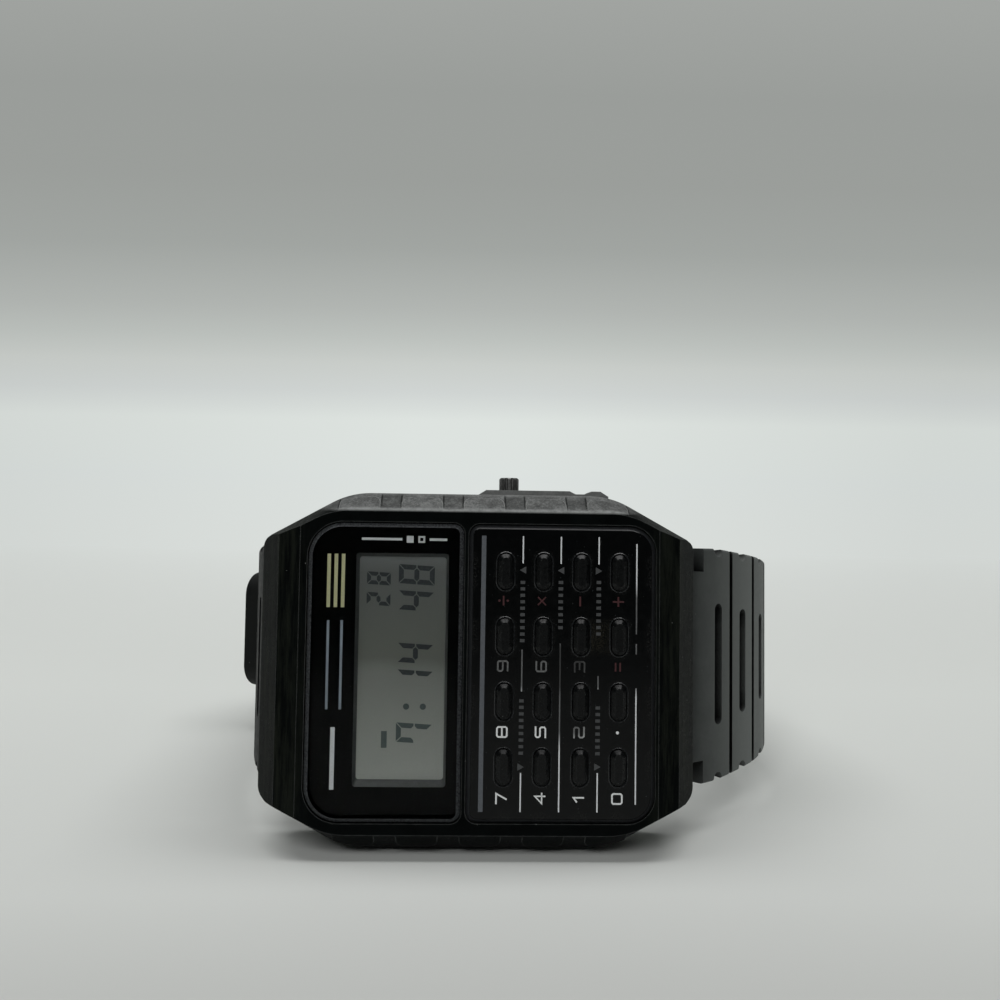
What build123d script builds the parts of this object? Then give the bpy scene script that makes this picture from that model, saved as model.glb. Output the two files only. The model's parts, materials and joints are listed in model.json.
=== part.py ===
from build123d import *
import math
import os

# Calculator watch with a resin case, a display window, a sixteen-key keypad and a buckled resin strap.
# It is modelled lying on its back, in millimetres: X runs from 12 o'clock to 6 o'clock, Y runs towards
# 3 o'clock, and Z runs from the case back to the face. The last section stands it on its 9 o'clock side.

# Case outline
case_length = 43.2
case_width = 34.4
case_thickness = 8.2
side_inset = 8.7
end_inset = 4.8
side_length = case_length - 2 * side_inset
end_width = case_width - 2 * end_inset
end_corner = 1.2
side_corner = 8.0
slope_run = 1.75
facet_depth = 2.5
front_side_spread = 1.5
front_end_inset = 0.7
front_inset = 4.2
front_width = case_width - 2 * slope_run
front_side_length = side_length + 2 * front_side_spread
front_end_width = end_width - 2 * front_end_inset
front_length = case_length - 2 * front_inset
lug_fold_inset = 2.0
lug_fold_length = case_length - 2 * lug_fold_inset
lug_fold_drop = 1.0
lug_end_drop = 4.15
underside_inset = 4.1
underside_flat_length = case_length - 2 * underside_inset
underside_rise = 0.9
underside_chamfer = 0.7

# Raised pads on the sloped sides
slope_pads = 5
slope_pad_pitch = 6.05
slope_pad_length = 3.95
slope_pad_shift = 0.28
slope_pad_corner = 0.7
slope_pad_rise = 0.5
slope_pad_rim = 0.38

# Fits and common clearances
overrun = 1.0
seat_gap = 0.1
running_gap = 0.05
glue_gap = 0.02
rounding = 1e-6

# Case back, its gasket and screws
back_inset_x = 4.8
back_inset_y = 2.75
back_length = case_length - 2 * back_inset_x
back_width = case_width - 2 * back_inset_y
back_corner = 1.7
back_thickness = 0.5
back_proud = 0.25
screw_border = 1.5
screw_radius = 0.6
screw_head_radius = 1.05
screw_head_height = 0.3
screw_length = 2.6
screw_slot_width = 0.3
screw_slot_depth = 0.15
gasket_width = 0.6
gasket_height = 0.5
gasket_land = 0.2

# Cavity for the module
cavity_border_x = 1.6
cavity_border_y = 1.45
cavity_length = back_length - 2 * cavity_border_x
cavity_width = back_width - 2 * cavity_border_y
cavity_corner_cut = 2.4
front_wall = 1.25

# Display panel
panel_split = -1.3625
panel_gap = 0.575
lens_length = 14.92
lens_border = 1.21
lens_width = front_width - 2 * lens_border
lens_outer_corner = 3.3
lens_inner_corner = 1.0
lens_thickness = 0.75
lens_proud = 0.12
panel_bevel = 0.4
mask_thickness = 0.1
window_border_x = 2.96
window_border_y = 3.14
window_length = lens_length - 2 * window_border_x
window_width = lens_width - 2 * window_border_y
window_shift = 1.57
window_corner = 0.6
window_ledge = 0.2

# Keypad panel
pad_plate_border = 0.425
pad_plate_inset = 0.04
pad_plate_width = lens_width - 2 * pad_plate_inset
pad_plate_outer_corner = 2.6
pad_plate_inner_corner = 1.0
pad_plate_thickness = 0.6
pad_plate_proud = 0.12
pad_plate_ledge = 1.4

# Keys
key_width = 1.42
key_length = 3.4
key_inset_x = 3.5
key_inset_y = 4.48
key_bottom_inset = 5.26
key_proud = 0.42
key_crown = 0.34
key_travel = 0.4
key_flange = 0.4
key_flange_thickness = 0.45
key_foot_drop = 0.9
key_foot_inset = 0.3
key_names = (
    ("divide", "times", "minus", "plus"),
    ("9", "6", "3", "equals"),
    ("8", "5", "2", "point"),
    ("7", "4", "1", "0"),
)

# Module
module_gap = 0.2
module_floor = 1.0
board_thickness = 0.8
board_height = 3.4
board_margin = 0.4
mat_thickness = 0.7
mat_start = 0.6
lcd_margin = 1.1
lcd_length = window_length + 2 * lcd_margin
lcd_width = window_width + 2 * lcd_margin
lcd_thickness = 1.0
lcd_front_gap = 0.05
reflector_thickness = 0.2
connector_width = 1.4
connector_inset = 2.2
connector_length = lcd_width - 2 * connector_inset
chip_size = 5.2
chip_height = 0.8
chip_dome = 0.35
crystal_radius = 0.75
crystal_length = 5.6
crystal_place_y = 8.6
battery_radius = 10.0
battery_thickness = 1.6
battery_rim = 0.45
battery_step = 0.3
battery_shift = 1.0
clamp_width = 5.0
clamp_thickness = 0.15
clamp_gap = 0.05
clamp_lip = 1.0
buzzer_radius = 6.5
buzzer_thickness = 0.22
buzzer_inset = 0.5
contact_spring_radius = 0.7
contact_spring_wire = 0.2
contact_spring_turns = 4

# Push buttons
button_height = 3.3
mode_button_x = 2.83
adjust_button_x = 9.95
mode_head_radius = 1.0
mode_head_rise = 1.8
mode_flutes = 10
mode_flute_radius = 0.16
adjust_head_radius = 0.85
adjust_head_rise = -0.05
button_stem_radius = 0.6
button_bore_depth = 2.2
button_stem_spare = 0.45
button_travel = 0.5
button_head_gap = 0.9
button_crown = 0.15
clip_groove_share = 0.7
clip_radius = 1.1
clip_thickness = 0.2
button_spring_wire = 0.16
button_spring_turns = 3
guard_start = -0.3
guard_end = 12.75
guard_ramp = 0.8
guard_proud = 0.5
guard_top = 5.1
guard_bottom = 1.5
guard_notch_width = 2.2
guard_notch_floor = 1.0
guard_notch_depth = 0.3

# Spring bars
bar_inset = 2.2
bar_height = 2.6
bar_radius = 0.75
bar_bore_radius = 0.55
bar_lip = 0.4
tip_radius = 0.4
tip_reach = 1.35
tip_piston = 1.6
bar_hole_spare = 0.3
pocket_depth = 4.3
pocket_roof = 4.75
pocket_roof_start = 1.1
pocket_roof_end = 0.9
pocket_mouth_height = 2.95
pocket_inner_height = 3.7

# Strap
strap_thickness = 2.3
strap_inset = 0.3
strap_waist_taper = 2.2
strap_rear_taper = 0.7
strap_tip_taper = 2.0
strap_width = end_width - 2 * strap_inset
strap_waist_width = strap_width - 2 * strap_waist_taper
strap_rear_width = strap_waist_width - 2 * strap_rear_taper
strap_tip_width = strap_rear_width - 2 * strap_tip_taper
strap_taper_start = 9.0
strap_taper_end = 24.0
strap_taper_round = 10.0
strap_overlap_gap = 0.3
strap_tongue_inset = 2.4
strap_tongue_width = strap_width - 2 * strap_tongue_inset
strap_shoulder = 4.1
strap_knuckle_radius = 1.65
strap_bar_gap = 0.1
strap_edge_round = 0.3
strap_tip_corner = 3.0
pocket_side_gap = 0.2
pocket_width = strap_tongue_width + 2 * pocket_side_gap
long_strap_start_angle = 37
long_strap_side_x = 32.9
long_strap_side_depth = 25.0
buckle_run_depth = 62.0
buckle_run_start = 13.0
buckle_run_length = 16.5
buckle_run_lead = 1.5
rear_bend_radius = 17.0
rear_bend_angle = 26
tail_tip_x = -29.75
tail_tip_depth = 42.0
tail_tip_angle = 243
tail_taper_depth = 53.0
short_strap_side_x = -23.9
short_strap_side_depth = 25.0
short_strap_start_angle = 299

# Strap sections: cross grooves, slots and edge notches
section_pitch = 4.8
section_first = 4.3
long_sections = 6
short_sections = 4
section_groove_width = 0.6
section_groove_depth = 0.75
slot_width = 1.3
slot_length = 12.6
slot_shrink = 1.55
notch_radius = 0.75
eyelet_pitch = 5.0
eyelets_before_tongue = 2
eyelet_count = 9
eyelet_slack = 0.25

# Buckle
pin_radius = 0.6
pin_gap = 0.05
knuckle_gap = 0.15
frame_thickness = 1.7
frame_bar = 1.5
frame_side = 1.25
frame_side_gap = 0.3
frame_reach = 8.8
frame_heel = 1.3
frame_round = 0.4
tongue_width = 1.8
tongue_slot_gap = 0.25
tongue_thickness = 0.9
tongue_rise_place = 1.75
tongue_eye_wall = 0.6
tongue_lift = 12

# Keeper
keeper_length = 5.2
keeper_wall = 1.1
keeper_gap = 0.22
keeper_round = 0.5
keeper_travel = 1.5

# Worked-out heights and places
keeper_run_length = keeper_length + 2 * keeper_travel + 2 * keeper_gap
lens_center = panel_split - (panel_gap + lens_length) / 2
window_center = lens_center + window_shift
pad_plate_start = panel_split + panel_gap / 2
pad_plate_length = front_length / 2 - pad_plate_border - pad_plate_start
pad_plate_center = pad_plate_start + pad_plate_length / 2
battery_center = cavity_length / 2 - module_gap - battery_radius - battery_shift
buzzer_center = buzzer_inset + buzzer_radius - cavity_length / 2
bar_place_x = case_length / 2 - bar_inset
front_z = case_thickness
facet_z = front_z - facet_depth
under_z = back_proud
cavity_top = front_z - front_wall
back_top = back_thickness


def stadium(width, length):
    """Return an upright slot-shaped sketch, length along Y."""
    return Rot(Z=90) * SlotOverall(length, width)


def plate(length, width, radius, thickness, x=0, y=0, z=0):
    """Return a flat plate with rounded corners that stands on height z."""
    return extrude(Pos(x, y, z) * RectangleRounded(length, width, radius), thickness)


def eight_sided(length, width, side, end, z):
    """Return the outline of the case at height z, with rounded corners."""
    points = [
        (sx * x, sy * y)
        for sx, sy, order in ((-1, -1, 1), (1, -1, -1), (1, 1, 1), (-1, 1, -1))
        for x, y in ((length / 2, end / 2), (side / 2, width / 2))[::order]
    ]
    face = make_face(Polyline(*points, close=True))
    ends = [v for v in face.vertices() if abs(v.Y) < width / 2 - rounding]
    face = fillet(ends, end_corner)
    sides = [v for v in face.vertices() if abs(v.Y) > width / 2 - rounding]
    return Pos(0, 0, z) * fillet(sides, side_corner)


def prism_along_y(points, half_width):
    """Return the solid of a side-view outline, carried along Y to both sides."""
    face = make_face(Polyline(*points, close=True))
    return extrude(Plane.XZ * face, half_width, both=True)


def two_corner_panel(length, width, center, left_corner, right_corner, z):
    """Return a panel outline with one corner radius on its left end and another on its right."""
    face = Rectangle(length, width)
    face = fillet(face.vertices().sort_by(Axis.X)[:2], left_corner)
    face = fillet(face.vertices().sort_by(Axis.X)[-2:], right_corner)
    return Pos(center, 0, z) * face


def cavity_outline(margin, z):
    """Return the cavity's outline grown by a margin, with its corners cut for the screws."""
    length = cavity_length + 2 * margin
    width = cavity_width + 2 * margin
    face = Rectangle(length, width)
    return Pos(0, 0, z) * chamfer(face.vertices(), cavity_corner_cut)


def key_places():
    """Return each key's name and its place on the face."""
    columns = len(key_names[0])
    first_x = pad_plate_start + key_inset_x
    step_x = (pad_plate_length - 2 * key_inset_x) / (columns - 1)
    first_y = pad_plate_width / 2 - key_inset_y
    step_y = (pad_plate_width - key_inset_y - key_bottom_inset) / (len(key_names) - 1)
    return [
        (name, first_x + column * step_x, first_y - row * step_y)
        for row, names in enumerate(key_names)
        for column, name in enumerate(names)
    ]


def coil(radius, wire, height, turns):
    """Return a hidden coil spring as a stack of flat closed turns that bears on its neighbours."""
    low = (Align.CENTER, Align.CENTER, Align.MIN)
    body = Cylinder(radius + wire / 2, height, align=low) - Cylinder(radius - wire / 2, height, align=low)
    pitch = height / turns
    for index in range(turns):
        place = Pos(0, 0, (index + 0.5) * pitch)
        groove = Cylinder(radius + wire, pitch / 2) - Cylinder(radius, pitch / 2)
        body -= place * groove
    return body


# Case body
def case_sides(extra_width):
    """Return the case's eight upright sides and the slopes above them, its width grown below the face."""
    width = case_width + extra_width
    base = eight_sided(case_length, width, side_length, end_width, under_z)
    middle = eight_sided(case_length, width, side_length, end_width, facet_z)
    front = eight_sided(case_length, front_width, front_side_length, front_end_width, front_z)
    return extrude(base, facet_z - under_z) + loft([middle, front], ruled=True)


def slope_pad_blocks():
    """Return the raised pads along both sloped sides, each with a step at its outer end."""
    width = case_width - 2 * slope_pad_rim
    zone = eight_sided(case_length, width, side_length, end_width - slope_pad_rim, facet_z)
    pads = extrude(zone, facet_depth) & case_sides(2 * slope_pad_rise)
    first = slope_pad_shift - (slope_pads - 1) / 2 * slope_pad_pitch
    places = [first + index * slope_pad_pitch for index in range(slope_pads)]
    strips = [plate(slope_pad_length, width, slope_pad_corner, facet_depth, x=x, z=facet_z) for x in places]
    return [pads & strip for strip in strips]


def case_outer():
    """Return the case without its holes: eight sides, sloped facets and falling ends."""
    body = case_sides(0)
    for pad in slope_pad_blocks():
        body += pad
    half = case_length / 2
    profile = [
        (half, front_z - lug_end_drop),
        (lug_fold_length / 2, front_z - lug_fold_drop),
        (front_length / 2, front_z),
    ]
    under = [(underside_flat_length / 2, under_z), (half, under_z + underside_rise)]
    outline = under + profile
    outline += [(-x, z) for x, z in reversed(outline)]
    body &= prism_along_y(outline, case_width)
    low_edges = body.edges().filter_by(Axis.X).group_by(Axis.Z)[0]
    return chamfer(low_edges, underside_chamfer)


def button_guard():
    """Return the ledge on the 3 o'clock side that stands round the two buttons, with its small notch."""
    foot = case_width / 2 - overrun
    edge = case_width / 2
    top = edge + guard_proud
    outline = [
        (guard_start, foot),
        (guard_start, edge),
        (guard_start + guard_ramp, top),
        (adjust_button_x - guard_notch_width / 2, top),
        (adjust_button_x - guard_notch_floor / 2, top - guard_notch_depth),
        (adjust_button_x + guard_notch_floor / 2, top - guard_notch_depth),
        (adjust_button_x + guard_notch_width / 2, top),
        (guard_end - guard_ramp, top),
        (guard_end, edge),
        (guard_end, foot),
    ]
    face = make_face(Polyline(*outline, close=True))
    return extrude(Pos(0, 0, guard_bottom) * face, guard_top - guard_bottom)


def strap_pocket(side):
    """Return the cutter under one end of the case, where the strap's knuckle goes in."""
    points = [
        (case_length / 2 - pocket_depth, under_z - overrun),
        (case_length / 2 - pocket_depth, pocket_inner_height),
        (bar_place_x - pocket_roof_start, pocket_roof),
        (bar_place_x + pocket_roof_end, pocket_roof),
        (case_length / 2, pocket_mouth_height),
        (case_length / 2 + overrun, pocket_mouth_height),
        (case_length / 2 + overrun, under_z - overrun),
    ]
    return prism_along_y([(side * x, z) for x, z in points], pocket_width / 2)


def make_case():
    """Return the resin case."""
    body = case_outer() + button_guard()
    body -= extrude(cavity_outline(0, under_z - overrun), cavity_top - under_z + overrun)
    rabbet = gasket_width + gasket_land
    body -= extrude(cavity_outline(rabbet, back_top), gasket_height)
    body -= plate(
        back_length + 2 * seat_gap,
        back_width + 2 * seat_gap,
        back_corner + seat_gap,
        back_top - under_z + overrun,
        z=under_z - overrun,
    )
    for x, y in screw_places():
        body -= Pos(x, y, back_top) * Cylinder(
            screw_radius, screw_length, align=(Align.CENTER, Align.CENTER, Align.MIN)
        )
    body -= lens_recess()
    body -= plate(
        window_length + 2 * window_ledge,
        window_width + 2 * window_ledge,
        window_corner,
        front_wall + 2 * overrun,
        x=window_center,
        z=cavity_top - overrun,
    )
    body -= plate_recess()
    body -= plate(
        pad_plate_length - 2 * pad_plate_ledge,
        pad_plate_width - 2 * pad_plate_ledge,
        pad_plate_inner_corner,
        front_wall + 2 * overrun,
        x=pad_plate_center,
        z=cavity_top - overrun,
    )
    for x, radius in ((mode_button_x, mode_head_radius), (adjust_button_x, adjust_head_radius)):
        body -= button_bore(x, radius)
    for side in (-1, 1):
        body -= strap_pocket(side)
        hole = Cylinder(tip_radius + running_gap, pocket_width + 2 * (tip_reach + bar_hole_spare))
        body -= Pos(side * bar_place_x, 0, bar_height) * Rot(X=90) * hole
    return body


# Display and keypad panels
def lens_outline(margin, z):
    return two_corner_panel(
        lens_length + 2 * margin,
        lens_width + 2 * margin,
        lens_center,
        lens_outer_corner + margin,
        lens_inner_corner + margin,
        z,
    )


def plate_outline(margin, z):
    return two_corner_panel(
        pad_plate_length + 2 * margin,
        pad_plate_width + 2 * margin,
        pad_plate_center,
        pad_plate_inner_corner + margin,
        pad_plate_outer_corner + margin,
        z,
    )


lens_bottom = front_z + lens_proud - lens_thickness
mask_bottom = lens_bottom - mask_thickness
pad_plate_bottom = front_z + pad_plate_proud - pad_plate_thickness


def lens_recess():
    return extrude(lens_outline(seat_gap, mask_bottom), front_z - mask_bottom + overrun)


def plate_recess():
    return extrude(plate_outline(seat_gap, pad_plate_bottom), front_z - pad_plate_bottom + overrun)


def make_lens():
    """Return the clear display panel with its bevelled edge."""
    body = extrude(lens_outline(0, lens_bottom), lens_thickness)
    return chamfer(body.faces().sort_by(Axis.Z)[-1].edges(), panel_bevel)


def make_mask():
    """Return the black sheet behind the display panel, open over the display."""
    body = extrude(lens_outline(0, mask_bottom), mask_thickness)
    depth = mask_thickness + 2 * overrun
    place = Pos(window_center, 0, mask_bottom - overrun)
    return body - place * plate(window_length, window_width, window_corner, depth)


def make_keypad_panel():
    """Return the keypad's front plate with its sixteen key holes."""
    body = extrude(plate_outline(0, pad_plate_bottom), pad_plate_thickness)
    body = chamfer(body.faces().sort_by(Axis.Z)[-1].edges(), panel_bevel)
    hole = stadium(key_width + 2 * seat_gap, key_length + 2 * seat_gap)
    for _, x, y in key_places():
        body -= Pos(x, y, pad_plate_bottom - overrun) * extrude(hole, pad_plate_thickness + 2 * overrun)
    return body


flange_top = pad_plate_bottom - running_gap
flange_bottom = flange_top - key_flange_thickness
key_foot = flange_bottom - key_foot_drop


def foot_size():
    return key_width - 2 * key_foot_inset, key_length - 4 * key_foot_inset


def make_key():
    """Return one key at the origin of the face: cap, flange under the plate and foot."""
    top = front_z + pad_plate_proud + key_proud
    cap = extrude(Pos(0, 0, flange_bottom) * stadium(key_width, key_length), top - flange_bottom)
    cap = chamfer(cap.faces().sort_by(Axis.Z)[-1].edges(), key_crown)
    wide = Rectangle(key_width + 2 * key_flange, key_length + 2 * key_flange)
    wide = chamfer(wide.vertices(), key_flange)
    flange = extrude(Pos(0, 0, flange_bottom) * wide, key_flange_thickness)
    foot = extrude(Pos(0, 0, key_foot) * Rectangle(*foot_size()), key_foot_drop)
    return cap + flange + foot


# Case back
def screw_places():
    x = back_length / 2 - screw_border
    y = back_width / 2 - screw_border
    return [(sx * x, sy * y) for sx in (-1, 1) for sy in (-1, 1)]


def make_case_back():
    """Return the steel case back with its four countersunk screw holes."""
    body = plate(back_length, back_width, back_corner, back_thickness)
    for x, y in screw_places():
        body -= Pos(x, y, back_thickness / 2) * Cylinder(screw_radius + seat_gap, 2 * back_thickness)
        body -= Pos(x, y, 0) * Cylinder(screw_head_radius + seat_gap, 2 * (screw_head_height + running_gap))
    return body


def make_screws():
    """Return the four case back screws as one group."""
    low = (Align.CENTER, Align.CENTER, Align.MIN)
    head = Pos(0, 0, running_gap) * Cylinder(screw_head_radius, screw_head_height, align=low)
    shank = Pos(0, 0, running_gap) * Cylinder(screw_radius - running_gap, screw_length, align=low)
    slot = Pos(0, 0, running_gap) * Box(4 * screw_head_radius, screw_slot_width, 2 * screw_slot_depth)
    screw = head + shank - slot
    return [Pos(x, y, 0) * screw for x, y in screw_places()]


def make_gasket():
    """Return the sealing ring between case and case back."""
    outer = extrude(cavity_outline(gasket_width + gasket_land / 2, back_top), gasket_height)
    inner = extrude(cavity_outline(gasket_land / 2, back_top - overrun), gasket_height + 2 * overrun)
    return outer - inner


# Module
module_top = cavity_top - lcd_front_gap
lcd_bottom = module_top - lcd_thickness
reflector_bottom = lcd_bottom - reflector_thickness
board_top = board_height + board_thickness
mat_top = key_foot - key_travel - running_gap
battery_bottom = module_floor + clamp_thickness + clamp_gap


def board_outline(margin, z):
    return cavity_outline(-module_gap - board_margin + margin, z)


def make_module_frame():
    """Return the plastic frame that carries the board, the display and the battery."""
    top = board_top + chip_height
    body = extrude(cavity_outline(-module_gap, module_floor), top - module_floor)
    body -= extrude(board_outline(seat_gap, board_height), top - board_height + overrun)
    pocket = Cylinder(
        battery_radius + seat_gap,
        battery_bottom + battery_thickness + seat_gap,
        align=(Align.CENTER, Align.CENTER, Align.MIN),
    )
    body -= Pos(battery_center, 0, 0) * pocket
    body -= Pos(buzzer_center - buzzer_radius / 2, 0, 0) * Cylinder(
        contact_spring_radius + contact_spring_wire + seat_gap, 4 * board_height
    )
    body -= Pos(battery_center, 0, module_floor) * Box(
        clamp_width + 2 * seat_gap, clamp_span() + 2 * seat_gap, 2 * (clamp_thickness + clamp_gap)
    )
    for room in button_rooms():
        body -= room
    return body


def button_rooms():
    """Return the cutters that leave room for the buttons' inner ends and clips."""
    clip_room = 2 * (clip_radius + seat_gap)
    depth = button_stem_spare + button_travel + seat_gap
    room = Box(clip_room, 2 * depth, clip_room)
    return [Pos(x, cavity_width / 2, button_height) * room for x in (mode_button_x, adjust_button_x)]


def make_board():
    """Return the circuit board, notched for the buttons."""
    body = extrude(board_outline(0, board_height), board_thickness)
    for room in button_rooms():
        body -= room
    return body


def make_chip():
    """Return the chip's square base with its low round dome."""
    base = Pos(window_center, 0, board_top) * Box(
        chip_size, chip_size, chip_height - chip_dome, align=(Align.CENTER, Align.CENTER, Align.MIN)
    )
    dome = Pos(window_center, 0, board_top + chip_height - chip_dome) * Cylinder(
        chip_size * 0.45, chip_dome, align=(Align.CENTER, Align.CENTER, Align.MIN)
    )
    return base + chamfer(dome.faces().sort_by(Axis.Z)[-1].edges(), chip_dome * 0.8)


def make_crystal():
    """Return the quartz crystal's can, lying on the board."""
    can = Rot(Y=90) * Cylinder(crystal_radius, crystal_length)
    can = chamfer(can.edges().filter_by(GeomType.CIRCLE), crystal_radius * 0.3)
    return Pos(window_center, crystal_place_y, board_top + crystal_radius) * can


def make_lcd():
    """Return the glass display cell."""
    low = (Align.CENTER, Align.CENTER, Align.MIN)
    return Pos(window_center, 0, lcd_bottom) * Box(lcd_length, lcd_width, lcd_thickness, align=low)


def make_reflector():
    """Return the foil behind the display cell."""
    low = (Align.CENTER, Align.CENTER, Align.MIN)
    foil = Box(lcd_length, lcd_width, reflector_thickness, align=low)
    return Pos(window_center, 0, reflector_bottom) * foil


def make_connectors():
    """Return the two rubber strips that join the display to the board."""
    height = reflector_bottom - board_top
    strip = Box(connector_width, connector_length, height, align=(Align.CENTER, Align.CENTER, Align.MIN))
    reach = (lcd_length - connector_width) / 2
    return [Pos(window_center + side * reach, 0, board_top) * strip for side in (-1, 1)]


def make_mat():
    """Return the rubber key mat: a sheet on the board with one raised pad under each key."""
    body = extrude(board_outline(0, board_top), mat_thickness)
    keep = Box(cavity_length, cavity_width, 2 * mat_thickness)
    body &= Pos(mat_start + cavity_length / 2, 0, board_top) * keep
    raised = Rectangle(*foot_size())
    for _, x, y in key_places():
        body += extrude(Pos(x, y, board_top) * raised, mat_top - board_top)
    for room in button_rooms():
        body -= room
    return body


def make_battery():
    """Return the button cell with its stepped can."""
    low = (Align.CENTER, Align.CENTER, Align.MIN)
    can = Cylinder(battery_radius - battery_rim, battery_thickness, align=low)
    can += Cylinder(battery_radius, battery_thickness - battery_step, align=low)
    return Pos(battery_center, 0, battery_bottom) * can


def clamp_span():
    return 2 * (battery_radius + clamp_lip)


def make_clamp():
    """Return the thin steel strap that holds the battery in."""
    return Pos(battery_center, 0, module_floor) * Box(
        clamp_width, clamp_span(), clamp_thickness, align=(Align.CENTER, Align.CENTER, Align.MIN)
    )


def make_buzzer():
    return Pos(buzzer_center, 0, back_top) * Cylinder(
        buzzer_radius, buzzer_thickness, align=(Align.CENTER, Align.CENTER, Align.MIN)
    )


def make_contact_spring():
    """Return the coil that feeds the buzzer from the board."""
    foot = back_top + buzzer_thickness
    height = board_height - foot
    spring = coil(contact_spring_radius, contact_spring_wire, height, contact_spring_turns)
    return Pos(buzzer_center - buzzer_radius / 2, 0, foot) * spring


# Push buttons: each is made along +Z and then laid along +Y
def button_place(x):
    return Pos(x, 0, button_height) * Rot(X=-90)


button_stem_stop = cavity_width / 2 - button_stem_spare
button_bore_floor = case_width / 2 - button_bore_depth
button_head_floor = button_bore_floor + button_head_gap


def button_bore(x, head_radius):
    """Return the cutter for one button: a wide bore for the head and a narrow one for the stem."""
    low = (Align.CENTER, Align.CENTER, Align.MIN)
    wide = Pos(0, 0, button_bore_floor) * Cylinder(
        head_radius + seat_gap, button_bore_depth + guard_proud + overrun, align=low
    )
    narrow = Pos(0, 0, cavity_width / 2 - overrun) * Cylinder(
        button_stem_radius + running_gap, button_bore_floor - cavity_width / 2 + 2 * overrun, align=low
    )
    return button_place(x) * (wide + narrow)


def make_button(x, head_radius, reach, flutes):
    """Return a button with its head, stem and the groove that takes the clip."""
    low = (Align.CENTER, Align.CENTER, Align.MIN)
    head = Pos(0, 0, button_head_floor) * Cylinder(head_radius, reach - button_head_floor, align=low)
    head = chamfer(head.faces().sort_by(Axis.Z)[-1].edges(), button_crown)
    for index in range(flutes):
        turn = Rot(Z=360 * index / flutes)
        flute = Pos(head_radius, 0, case_width / 2 + guard_proud) * Cylinder(
            mode_flute_radius, reach - case_width / 2, align=low
        )
        head -= turn * flute
    stem = Pos(0, 0, button_stem_stop) * Cylinder(
        button_stem_radius, button_head_floor - button_stem_stop, align=low
    )
    groove_floor = cavity_width / 2 - running_gap - clip_thickness - glue_gap
    ring = Cylinder(button_stem_radius + overrun, clip_thickness + 2 * glue_gap, align=low)
    ring -= Cylinder(button_stem_radius * clip_groove_share, clip_thickness + 2 * glue_gap, align=low)
    return button_place(x) * (head + stem - Pos(0, 0, groove_floor) * ring)


def make_clip(x):
    """Return the open ring that keeps a button in the case."""
    low = (Align.CENTER, Align.CENTER, Align.MIN)
    ring = Cylinder(clip_radius, clip_thickness, align=low)
    ring -= Cylinder(button_stem_radius * clip_groove_share + glue_gap, clip_thickness, align=low)
    mouth = Pos(clip_radius, 0, 0) * Box(2 * clip_radius, button_stem_radius, 4 * clip_thickness)
    place = Pos(0, 0, cavity_width / 2 - running_gap - clip_thickness)
    return button_place(x) * place * (ring - mouth)


def make_button_spring(x, head_radius):
    """Return the coil under a button's head."""
    radius = (button_stem_radius + head_radius) / 2
    spring = coil(radius, button_spring_wire, button_head_gap, button_spring_turns)
    return button_place(x) * Pos(0, 0, button_bore_floor) * spring


# Spring bars
barrel_half = strap_tongue_width / 2


def make_barrel(side):
    """Return a spring bar's hollow barrel."""
    tube = Cylinder(bar_radius, 2 * barrel_half)
    tube -= Cylinder(bar_bore_radius, 2 * (barrel_half - bar_lip))
    tube -= Cylinder(tip_radius + running_gap, 4 * barrel_half)
    return Pos(side * bar_place_x, 0, bar_height) * Rot(X=90) * tube


def make_tip(side, end):
    """Return one sprung tip: a pin that reaches into the case and a piston inside the barrel."""
    low = (Align.CENTER, Align.CENTER, Align.MIN)
    piston_top = barrel_half - bar_lip - running_gap
    pin = Pos(0, 0, piston_top - overrun / 2) * Cylinder(
        tip_radius, pocket_width / 2 + tip_reach - piston_top + overrun / 2, align=low
    )
    pin = chamfer(pin.faces().sort_by(Axis.Z)[-1].edges(), tip_radius / 2)
    piston = Cylinder(bar_bore_radius - running_gap, tip_piston, align=low)
    piston = Pos(0, 0, piston_top - tip_piston) * piston
    return Pos(side * bar_place_x, 0, bar_height) * Rot(X=-90 * end) * (pin + piston)


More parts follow.
